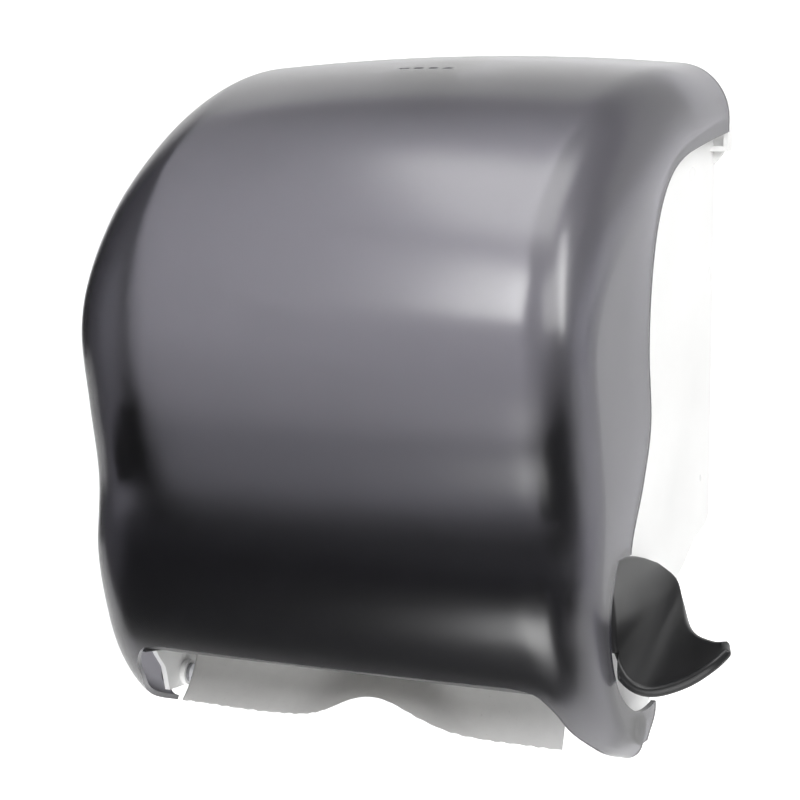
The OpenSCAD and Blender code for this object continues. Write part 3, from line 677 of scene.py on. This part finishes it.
# ---- the cover
@dataclass
class Cover:
    """The smoky front cover: one moulded shell, its hinge bosses and its catch rib."""

    wall: float = 2.5
    steps: int = 8  # rows of points between two stations
    # points across half a section: over the crown, round the corner, along the side
    across: tuple[int, int, int] = (19, 15, 9)
    # at each station, from the rear of the top down to the legs: the outer face's Y and Z, the
    # rear edge's Y and Z, the corner's radius, and how far the middle stands out past the corner
    side_line: Outline = (
        (-8, 166), (-60, 162.5), (-108, 153), (-150, 135), (-188, 104), (-212, 66), (-220, 32),
        (-213.5, -8), (-207, -42), (-209, -76), (-202, -106), (-185, -136), (-159, -160),
        (-126, -171))
    edge_line: Outline = (
        (-8, 127), (-43, 122), (-77, 115), (-98, 103), (-112, 82), (-119, 54), (-120.5, 25),
        (-117, -8), (-126, -35), (-141, -64), (-138, -88), (-122, -118), (-105, -145),
        (-116, -160.5))
    corner: Outline = tuple((r,) for r in (28, 30, 36, 39, 36, 31, 30, 30, 30, 30, 29, 23, 17, 8))
    crown: Outline = tuple((s,) for s in (4.2, 4.5, 5.7, 6, 5.1, 3.9, 3, 3, 3, 3, 3, 3, 3, 3))
    # the paper opening's right half from the top, X and Z
    mouth: Outline = ((93.5, -122.5), (104.5, -125), (111.5, -133.5), (115.5, -144.5),
                      (122.3, -157.5), (124.7, -172.5))
    lever_hole_r: float = 50.0
    lever_hole_rear: float = -90.0  # the hole is cut off behind this Y
    lever_hole_top: float = -66.0  # and above this Z
    slot_r: float = 1.3  # the key slots' half width
    slot_half: float = 1.4  # and half the straight part of their length
    slot_y: float = -85.0
    slot_x: tuple[float, ...] = (-12, -4, 4, 12)
    hinge_at: Pair = (-124.0, -153.0)

    def surface(self, depth: float) -> np.ndarray:
        """The shell's surface at a depth below its outer face.

        A point lies on the section at station t, at side(t) + inward(t) w. Over the crown
        w = depth + fall u^2. Round the corner w = s + r - q cos f and x = xc + q sin f, with r the
        corner's radius, s the crown's rise and q = r - depth. It goes on straight to the rear edge.

        Args:
            depth: how far below the outer face.

        Returns:
            (rows, columns, 3) points.
        """
        last = len(self.side_line) - 1
        t = np.linspace(0, last, last * self.steps + 1)
        p, e = spline(self.side_line, t), spline(self.edge_line, t)
        r, s = spline(self.corner, t), spline(self.crown, t)
        near = 0.05
        ahead = unit(spline(self.side_line, np.minimum(t + near, last))
                     - spline(self.side_line, np.maximum(t - near, 0)))
        inward = np.stack([-ahead[:, 1], ahead[:, 0]], -1)
        xc, q = HALF_W - r, r - depth
        a0 = np.arctan(2 * s / xc)
        x0, fall = xc + q * np.sin(a0), s + r - q * np.cos(a0) - depth
        u, g, v = (np.linspace(0, 1, n) for n in self.across)
        f = a0 + (np.pi / 2 - a0) * g[None, 1:]
        x = np.hstack([x0 * u, xc + q * np.sin(f)])
        w = np.hstack([depth + fall * u ** 2, s + r - q * np.cos(f)])
        yz = p[:, None, :] + inward[:, None, :] * w[..., None]
        shoulder = p + inward * (s + r)
        flat = shoulder[:, None, :] + (e - shoulder)[:, None, :] * v[None, 1:, None]
        x = np.hstack([x, np.full(flat.shape[:2], HALF_W - depth)])
        half = np.concatenate([x[..., None], np.concatenate([yz, flat], 1)], 2)
        half[..., 1] = np.minimum(half[..., 1], self.side_line[0][0])
        mirror = half[:, :0:-1] * np.array([-1, 1, 1])
        return np.concatenate([mirror, half], 1)

    def shell(self) -> Piece:
        """Makes the wall between its two faces, closed round its rim; faces carry their polish."""
        outer, inner = self.surface(0), self.surface(self.wall)
        rows, cols = outer.shape[:2]
        n = rows * cols
        number = np.arange(n).reshape(rows, cols)
        ring = np.concatenate([number[0, :-1], number[:-1, -1], number[-1, :0:-1],
                               number[:0:-1, 0]])
        after = np.roll(ring, -1)
        rim = np.stack([ring, ring + n, after + n, after], -1)
        quads = grid_quads(rows, cols)
        faces = np.vstack([quads, quads[:, ::-1] + n, rim])
        kinds = np.repeat([0, 1, 2], [len(quads), len(quads), len(rim)])
        return solid("cover_shell", np.concatenate([outer, inner]), faces, kinds=kinds.tolist())

    def tools(self) -> list[Piece]:
        """Makes the shapes cut from the shell: the mouth, the lever's opening and the key slots."""
        leg = spline(self.mouth, np.linspace(0, len(self.mouth) - 1, 41))
        outline = np.vstack([leg, (leg * np.array([-1, 1]))[::-1]])
        made = [prism("mouth_tool", outline, 1, -340, -110)]
        a = full_turn(128)
        y = np.minimum(LEVER_AT[0] + self.lever_hole_r * np.cos(a), self.lever_hole_rear)
        z = np.minimum(LEVER_AT[1] + self.lever_hole_r * np.sin(a), self.lever_hole_top)
        disc = np.stack([y, z], -1)
        disc = disc[np.linalg.norm(disc - np.roll(disc, 1, 0), axis=1) > 1e-6]
        made.append(prism("lever_opening_tool", disc, 0, HALF_W - 12, HALF_W + 12))
        b = np.linspace(-np.pi / 2, np.pi / 2, 17)
        half = np.stack([self.slot_half + self.slot_r * np.cos(b), self.slot_r * np.sin(b)], -1)
        slot = np.vstack([half, -half])
        made += [prism("slot_tool", slot + np.array([x, self.slot_y]), 2, 136, 176)
                 for x in self.slot_x]
        return made

    def boss(self, side: int) -> Piece:
        """Makes a hinge boss inside the cover: a tube of radii 3.06 and 6.5 with a coned foot."""
        profile = np.array([(124.2, 3.06), (124.2, 6.1), (124.6, 6.5), (129.2, 6.5), (130.3, 7.4),
                            (130.3, 3.06)])
        name = f"cover_boss_{'right' if side > 0 else 'left'}"
        return turned(name, profile * np.array([side, 1]), self.hinge_at, 48)

    def build(self) -> None:
        """Makes the cover and dresses the latch."""
        shell = self.shell()
        for finish in (SMOKE_OUT, SMOKE_IN, SMOKE_RIM):
            shell.data.materials.append(finish.make())
        for tool in self.tools():
            SMOKE_RIM.dress(tool)
            cut(shell, tool)
        smooth(shell, 38)
        bevelled(shell, 0.5, 50, kind=2)
        settle(shell, "cover", SMOKE_OUT.slot, "front_cover")
        for side in (1, -1):
            settle(SMOKE_IN.dress(self.boss(side)), "cover", SMOKE_IN.slot)
        catch = np.array([(-14, -46), (14, -46), (14, -42), (-14, -42)], float)
        rib = SMOKE_IN.dress(prism("cover_catch", catch, 2, 157.6, 161))
        settle(bevelled(rib, 0.6), "cover", SMOKE_IN.slot)
        softened(BLACK_ABS, latch=0.4)


# ---- housing and frame
class Housing:
    """The white back housing, the black roller frame in it and what holds them together."""

    def build(self) -> None:
        """Dresses the housing, the frame plates and the fasteners."""
        softened(WHITE_ABS, back_housing=0.5)
        softened(BLACK_ABS, frame_left=0.5, frame_right=0.5, frame_bridge=0.6, front_beam=0.5,
                 roller_guard=0.6, towel_guide=0.4)
        softened(STAINLESS, tear_bar=0.12)
        keep_nodes(PLATED, "tear_bar_screws", "frame_screws", "carrier_rod", "hinge_pin_left",
                   "hinge_pin_right", "arm_pin_left", "arm_pin_right")
        keep_nodes(ACETAL, "roller_bush_left", "roller_bush_right", "lever_bush")


# ---- springs
@dataclass
class CoilSpring:
    """A coil spring of round wire with closed ends."""

    node: str
    radius: float
    wire: float
    turns: float
    start: tuple[float, float, float]
    length: float
    lies: bool = False  # along Y and not Z
    copies: tuple[float, ...] = (0.0,)  # places along X from the start
    per_turn: int = 40  # points along one turn
    around: int = 10  # points round the wire
    closed: float = 0.9  # turns over which an end closes
    pitch: float = 0.25  # the pitch at an end against the middle's

    def coil(self) -> np.ndarray:
        """The wire's middle line is (R cos a, R sin a, h(t)); h's rate falls over its end turns.

        Returns:
            (rows, around, 3) points of the wire's surface about its middle line.
        """
        n = int(self.turns * self.per_turn) + 1
        t = np.linspace(0, 1, n)
        a = 2 * np.pi * self.turns * t
        ease = np.clip(np.minimum(t, 1 - t) * self.turns / self.closed, 0, 1)
        rate = self.pitch + (1 - self.pitch) * ease
        h = np.concatenate([[0], np.cumsum((rate[1:] + rate[:-1]) / 2)])
        h = self.wire + h / h[-1] * (self.length - 2 * self.wire)
        out = np.stack([np.cos(a), np.sin(a), np.zeros(n)], -1)
        line = self.radius * out + h[:, None] * np.array([0, 0, 1])
        up = np.cross(unit(np.gradient(line, axis=0)), out)
        k = full_turn(self.around)[None, :, None]
        return line[:, None] + self.wire * (np.cos(k) * out[:, None] + np.sin(k) * up[:, None])

    def build(self) -> None:
        """Makes the spring, and its twins, as one piece."""
        ring = self.coil()
        rows, cols = ring.shape[:2]
        if self.lies:
            ring = np.stack([ring[..., 0], ring[..., 2], -ring[..., 1]], -1)
        points, faces = [], []
        for copy in self.copies:
            faces += tube_faces(rows, cols, len(points) * rows * cols)
            points.append(ring + np.array(self.start) + np.array([copy, 0, 0]))
        coil = solid(self.node + "_coil", np.concatenate(points), faces, sharp=60)
        settle(SPRING_STEEL.dress(coil), "housing", SPRING_STEEL.slot, self.node)


# ---- paper
@dataclass
class Paper:
    """The wound roll on its core, and the web over the drive roller and out of the mouth."""

    width: float = 203.0
    thick: float = 0.22
    roll_r: float = 94.5
    core_out: float = 21.5
    ring_step: float = 0.6  # between two circles of points on the roll's ends
    seam: float = 0.45  # the step where the outer layer ends
    seam_turn: float = 214.0  # where that is, in degrees
    drive_at: Pair = (-161.96, -96.88)
    wrap_r: float = 19.7  # the web's radius round the drive roller
    nip_y: float = -142.3
    nip_z: Pair = (-112.0, -128.0)  # the straight part below the nip
    tail: float = 34.0  # the free end's length
    tooth: float = 5.075  # between two teeth of the torn edge
    cols: int = 170
    rows: int = 190

    def roll(self) -> Piece:
        """Makes the roll: radius r - seam (1 - a / 2 pi) round its outside.

        Its ends rise and fall turn by turn, x = width / 2 less what is above 0 of
        0.3 + 0.16 sin(2.1 r) + 0.12 sin(5.3 r + 1) +- 0.1, over rings 1.2 mm apart.
        """
        edge, count = self.width / 2, 144
        r = np.arange(self.core_out, self.roll_r - 1.0, self.ring_step)
        uneven = 0.3 + 0.16 * np.sin(2.1 * r) + 0.12 * np.sin(5.3 * r + 1)
        uneven += 0.1 * np.where(np.arange(len(r)) % 2, 1, -1)
        rim = [(edge - 0.5, self.roll_r - 0.4), (edge - 1.2, self.roll_r)]
        face = np.vstack([np.stack([edge - np.maximum(uneven, 0), r], -1), rim])
        outside = np.stack([np.linspace(edge - 3, 3 - edge, 24), np.full(24, self.roll_r)], -1)
        profile = np.vstack([face, outside, (face * np.array([-1, 1]))[::-1]])
        fall = -self.seam * (1 - full_turn(count) / 2 / np.pi)
        return turned("towel_winding", profile, ROLL_AT, count,
                      (profile[:, 1:] > self.roll_r - 2) * fall, self.seam_turn, 30)

    def web_line(self, x: np.ndarray) -> np.ndarray:
        """The web's middle line at each place across it, through the points that the frame gives.

        It leaves the roll, wraps the drive roller from 33 to 3.6 degrees and falls through the nip.
        The free tail swings out by a(x) = 18 + 46 exp(-((x - 12) / 33)^2) - x / 10 degrees at its
        edge, and is up to 5 mm shorter where it swings most.

        Args:
            x: places across the web.

        Returns:
            (points, len(x), 2) points in Y and Z.
        """
        def on_circle(centre: Pair, radius: float, degrees: float) -> np.ndarray:
            """Returns the point of a circle at an angle."""
            a = math.radians(degrees)
            return np.array(centre) + radius * np.array([math.cos(a), math.sin(a)])

        start = on_circle(ROLL_AT, -(self.roll_r + 0.9), 31.5)
        wrap = [on_circle(self.drive_at, self.wrap_r, f) for f in (33, 22, 12, 3.6)]
        fixed = [start + (wrap[0] - start) * u for u in (0, 0.25, 0.5, 0.75)] + wrap
        fixed += [np.array([self.nip_y, z]) for z in self.nip_z]
        rows = [np.repeat(p[None], len(x), 0) for p in fixed]
        swell = np.exp(-((x - 12) / 33) ** 2)
        swing = np.radians(18 + 46 * swell - x / 10)
        for u in (0.2, 0.4, 0.6, 0.8, 1.0):
            reach = (self.tail - 5 * swell) * u
            rows.append(np.stack([self.nip_y - reach * np.sin(swing * u),
                                  self.nip_z[1] - reach * np.cos(swing * u)], -1))
        return np.array(rows)

    def sheet(self) -> tuple[Piece, float]:
        """Makes the hanging sheet, torn along the bar's teeth, with its own map in metres.

        Returns:
            The piece, and the length of its flat cut in metres.
        """
        x = (np.linspace(0, 1, self.cols) - 0.5) * (self.width - 0.6)
        knots = self.web_line(x)
        last = len(knots) - 1
        t = np.linspace(0, last, self.rows)
        lines = [spline(knots[:, c], t) for c in (0, self.cols // 2)]
        flat = float(np.mean([np.linalg.norm(np.diff(s, axis=0), axis=1).sum() for s in lines]))
        # the torn edge follows the teeth and wanders a little
        torn = last - np.abs((x / self.tooth) % 1 - 0.5) * 0.07 - 0.03 * np.sin(x * 0.9)
        places = t[:, None] / last * np.where(t[:, None] > last - 2, torn[None], last)
        places = np.maximum.accumulate(places, 0)
        yz = spline(knots, places, np.arange(self.cols)[None, :])
        free = np.clip((places - 9) / 4, 0, 1)  # 0 down to the nip's straight part, then up to 1
        yz[..., 0] += (0.35 * free * np.sin(x[None] * 0.11 + 1.3 * places)
                       + 0.12 * free * np.sin(x[None] * 0.31 + 2))
        points = np.concatenate([np.repeat(x[None, :, None], self.rows, 0), yz], 2)
        obj = solid("towel_web", points, grid_quads(self.rows, self.cols), closed=False, sharp=180)
        gone = np.cumsum(np.linalg.norm(np.diff(points, axis=0), axis=2), 0)
        along = np.vstack([np.zeros((1, self.cols)), gone])
        chart = np.stack([np.repeat(x[None], self.rows, 0), along], -1).reshape(-1, 2) * MM
        corner = np.empty(len(obj.data.loops), np.int32)
        obj.data.loops.foreach_get("vertex_index", corner)
        layer = obj.data.uv_layers.new(name="web_map")
        layer.data.foreach_set("uv", chart[corner].astype(np.float32).ravel())
        step = obj.modifiers.new("paper", "SOLIDIFY")
        step.thickness, step.offset = self.thick * MM, 0.0
        return obj, flat * MM

    def build(self) -> None:
        """Makes the roll and the sheet and dresses the core and the arms."""
        roll = WOUND.dress(self.roll())
        settle(roll, "roll", WOUND.slot, "towel_roll")
        web, length = self.sheet()
        settle(TOWEL.dress(web), "housing", TOWEL.slot, "towel_sheet")
        log.info("towel_web: flat %.0f x %.0f mm", self.width, length / MM)
        keep_nodes(BOARD, "roll_core")
        softened(BLACK_ABS, roll_arm_left=0.7, roll_arm_right=0.7)
        softened(SPRING_STEEL, arm_spring_left=0.1, arm_spring_right=0.1)


# ---- rollers
@dataclass
class Feed:
    """The drive roller with its grips and wheels, and the sprung pinch roller that meets it."""

    pinch_z: float = -94.91
    latch_y: float = -62.0

    def build(self) -> None:
        """Dresses the rollers and makes the pinch springs and the latch's."""
        keep_nodes(PLATED, "roller_shaft", "roller_clutch", "pinch_shaft")
        keep_nodes(ACETAL, "roller_pinion")
        softened(BLACK_ABS, roller_body=0.4, feed_wheel=0.3, pinch_carrier=0.5)
        softened(RUBBER, roller_grips=0.5, pinch_roller=0.4)
        low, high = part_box("pinch_springs")
        CoilSpring("pinch_springs", 3.5, 0.5, 6, (0, low.y / MM, self.pinch_z),
                   (high.y - low.y) / MM, lies=True, copies=(-60.0, 60.0)).build()
        low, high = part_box("latch_spring")
        CoilSpring("latch_spring", 3.5, 0.45, 5, (0, self.latch_y, low.z / MM),
                   (high.z - low.z) / MM).build()


# ---- lever
@dataclass
class Lever:
    """The lever: a grained black scoop on a steel shaft, with its gear, screw and return spring."""

    thick: float = 6.0
    round_mm: float = 2.6  # width of the rounding round the scoop's rim
    rows: int = 113  # points along the hook
    cols: int = 61  # and across it
    # the scoop's front and rear edges from the top to the tip: X from the cover's side, Y and Z
    front: Outline = (
        (-7, -153, -69), (-3.5, -157.5, -80), (-1.2, -159, -94), (0, -159.5, -109), (6, -160, -120),
        (16, -160, -123.3), (31, -159, -118), (43, -157.5, -109.8), (51, -154, -102.5))
    rear: Outline = (
        (-5.5, -91, -79), (-3.5, -88, -80.8), (2, -87.5, -84.4), (6, -90, -88), (10.5, -98, -94),
        (17, -112, -100.4), (26, -125, -103.5), (39, -140, -102.3), (46.5, -148, -100.3))
    # Y and Z, from the shaft, of the block where the lip ends so that the open cover clears it
    lip_y: Pair = (-60.0, -33.5)
    lip_z: Pair = (-40.0, -14.0)

    def face(self, u: np.ndarray, v: np.ndarray) -> np.ndarray:
        """The concave face: f(u) + (b(u) - f(u)) v + (-dip / 2, 0, lift - dip).

        f is the front edge and b the rear edge, dip = 2.2 sin(pi v) sin(pi u / 8), and
        lift = 3.5 sin(pi v) max(0, 1 - u).

        Args:
            u: places along the hook, from 0 at the top to 8 at the tip.
            v: places across it, from 0 at the front to 1 at the rear.

        Returns:
            Points of u's and v's common shape, measured from the cover's side.
        """
        f, b = spline(self.front, u), spline(self.rear, u)
        dip = 2.2 * np.sin(np.pi * v) * np.sin(np.pi * u / (len(self.front) - 1))
        lift = 3.5 * np.sin(np.pi * v) * np.maximum(0, 1 - u)
        return f + (b - f) * v[..., None] + np.stack([-dip / 2, 0 * dip, lift - dip], -1)

    def scoop(self) -> Piece:
        """Makes the scoop: middle surface m = face - n T / 2, faces at m +- n (T / 2) R(u) R(v).

        T = min(2.4 + 2.2 u, 6 (1 - 0.2 (u / 8)^3)) is the wall. R = (1 - e^2.6)^(1 / 2.6) rounds
        the rim, e going from 0 to 1 over the rounding. Points crowd towards the edges.
        """
        tip = len(self.front) - 1
        s, k = np.linspace(0, 1, self.rows), np.linspace(0, 1, self.cols)
        u = tip * (s - 0.35 * np.sin(2 * np.pi * s) / (2 * np.pi))
        v = k - 0.75 * np.sin(2 * np.pi * k) / (2 * np.pi)
        uu, vv = np.meshgrid(u, v, indexing="ij")
        near = 0.02
        du = self.face(np.minimum(uu + near, tip), vv) - self.face(np.maximum(uu - near, 0), vv)
        dv = self.face(uu, np.minimum(vv + near, 1)) - self.face(uu, np.maximum(vv - near, 0))
        normal = unit(np.cross(du, dv))
        wall = np.minimum(2.4 + 2.2 * uu, self.thick * (1 - 0.2 * (uu / tip) ** 3))
        across = np.linalg.norm(spline(self.rear, u) - spline(self.front, u), axis=-1)[:, None]
        inside = self.face(uu, vv)
        run = np.cumsum(np.linalg.norm(np.diff(inside, axis=0), axis=2), 0)
        run = np.vstack([np.zeros((1, self.cols)), run])
        # how far a point is from the side edges, and from the top (which rounds faster) or the tip
        gaps = (np.minimum(vv, 1 - vv) * across, np.minimum(run / 0.6, run[-1:] - run))
        rim = [np.clip(1 - gap / self.round_mm, 0, 1) for gap in gaps]
        level = [(1 - e ** 2.6) ** (1 / 2.6) for e in rim]
        half = (wall / 2 * level[0] * level[1])[..., None]
        middle = inside - normal * (wall / 2)[..., None]
        sides = [middle + normal * half, middle - normal * half]
        points = np.concatenate(sides) + np.array([HALF_W, 0, 0])
        quads = grid_quads(self.rows, self.cols)
        faces = np.vstack([quads, quads[:, ::-1] + self.rows * self.cols])
        scoop = solid("lever_scoop", points, faces, sharp=70)
        (y0, y1), (z0, z1) = self.lip_y, self.lip_z
        block = np.array([(y0, z0), (y1, z0), (y1, z1), (y0, z1)]) + np.array(LEVER_AT)
        cut(scoop, prism("lip_end", block, 0, HALF_W - 12, HALF_W + 0.3))
        return scoop

    def hub(self) -> Piece:
        """Makes the scoop's hub: a turned boss of radius 13, bored for the shaft."""
        profile = np.array([(123.5, 5.05), (123.5, 12.2), (123.7, 12.8), (124.2, 13.0),
                            (128.4, 13.0), (128.9, 12.8), (129.1, 12.3), (129.1, 5.05)])
        return turned("lever_hub", profile, LEVER_AT, 72)

    def build(self) -> None:
        """Makes the scoop, its hub and the return spring, and dresses the rest."""
        scoop, hub = LEVER_ABS.dress(self.scoop()), LEVER_ABS.dress(self.hub())
        settle(scoop, "lever", LEVER_ABS.slot, "lever_paddle")
        settle(hub, "lever", LEVER_ABS.slot)
        keep_nodes(PLATED, "lever_shaft", "lever_screw")
        keep_nodes(ACETAL, "sector_gear")
        low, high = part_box("lever_return_spring")
        middle = (low + high) / 2 / MM
        CoilSpring("lever_return_spring", 1.9, 0.5, 10, (middle.x, middle.y, low.z / MM),
                   (high.z - low.z) / MM).build()


# ---- studio
@dataclass(frozen=True)
class Lamp:
    """A soft box hung round the object, facing it."""

    name: str
    turn: float  # degrees round the object from straight ahead, to its right
    rise: float  # degrees above level
    far: float  # metres from the object
    size: Pair  # width and height in metres
    watts: float

    def hang(self) -> None:
        """Adds the lamp to the scene."""
        data = bpy.data.lights.new(self.name, "AREA")
        data.shape, data.energy = "RECTANGLE", self.watts
        data.size, data.size_y = self.size
        a, e = math.radians(self.turn), math.radians(self.rise)
        away = Vector((math.sin(a) * math.cos(e), -math.cos(a) * math.cos(e), math.sin(e)))
        obj = place(self.name, data)
        obj.location = Vector((0.0, -0.12, 0.0)) + away * self.far
        obj.rotation_euler = away.to_track_quat("Z", "Y").to_euler()


@dataclass
class Studio:
    """The camera at the photograph's angle, soft lamps, a pale floor and a pale backdrop."""

    eye: tuple[float, float, float] = (0.49805, -1.13113, 0.14059)  # metres
    look: tuple[float, float, float] = (-0.0071, -0.1, -0.0065)
    lens_mm: float = 103.82
    ambient: float = 0.06
    floor: float = -620.0
    front: float = -300.0  # no floor before this, which the cover would mirror
    wall: float = 2000.0
    top: float = 2600.0
    bend: float = 700.0  # radius between floor and wall
    half: float = 3200.0
    lamps: tuple[Lamp, ...] = (
        Lamp("front_box", -8, 36, 1.7, (0.5, 0.8), 17),  # the gleam on the flat front
        Lamp("side_box", 52, 30, 1.5, (0.8, 0.8), 11),  # the right corner and side
        Lamp("side_strip", 68, 32, 1.5, (0.2, 1.2), 11),  # the tall line on the corner
        Lamp("low_box", 10, -42, 1.4, (1.0, 0.4), 12),  # the towel and the lever's underside
        Lamp("top_box", 10, 80, 1.5, (1.2, 1.0), 20),  # the top and the roll's upper half
        Lamp("right_box", 108, 14, 1.6, (1.2, 1.2), 1.0))  # the housing's side

    def camera(self) -> None:
        """Places the camera, whose frame is square."""
        data = bpy.data.cameras.new("camera")
        data.lens, data.sensor_width, data.sensor_fit = self.lens_mm, 36.0, "HORIZONTAL"
        data.clip_start, data.clip_end = 0.01, 30.0  # metres
        obj = place("camera", data)
        obj.location = self.eye
        sight = Vector(self.look) - Vector(self.eye)
        obj.rotation_euler = sight.to_track_quat("-Z", "Y").to_euler()
        bpy.context.scene.camera = obj

    def room(self) -> None:
        """Sweeps the floor up into the backdrop: z = floor, then a quarter circle, then a wall."""
        a = np.linspace(0, np.pi / 2, 25)
        bend_y = self.wall - self.bend + self.bend * np.sin(a)
        y = np.concatenate([[self.front], bend_y, [self.wall]])
        z = np.concatenate([[self.floor], self.floor + self.bend * (1 - np.cos(a)), [self.top]])
        x = np.repeat([[-self.half, self.half]], len(y), 0)
        points = np.stack([x, np.repeat(y[:, None], 2, 1), np.repeat(z[:, None], 2, 1)], -1)
        quads = grid_quads(len(y), 2)[:, ::-1]
        sweep = solid("studio_sweep", points, quads, closed=False, sharp=60)
        StudioWhite("studio_white_paint").dress(sweep)

    def sky(self) -> None:
        """Sets a dim even surrounding that the camera itself sees as white."""
        world = bpy.data.worlds.new("studio")
        n = emptied(world)
        dim, full = (n.put("Background", {"Color": WHITE, "Strength": strength}).outputs[0]
                     for strength in (self.ambient, 1.0))
        seen = n.put("LightPath").outputs["Is Camera Ray"]
        n.put("OutputWorld", {"Surface": n.either(seen, dim, full)})
        bpy.context.scene.world = world

    def build(self) -> None:
        """Sets up the whole studio."""
        bpy.context.scene.view_settings.view_transform = "Standard"
        self.camera()
        self.room()
        self.sky()
        for lamp in self.lamps:
            lamp.hang()


def main() -> None:
    """Builds the studio and each sub-assembly in order."""
    logging.basicConfig(level=logging.INFO, format="%(name)s: %(message)s")
    Studio().build()
    for part in (Housing(), Paper(), Feed(), Lever(), Cover()):
        log.info("-- %s", type(part).__name__)
        part.build()


if __name__ == "__main__":
    main()
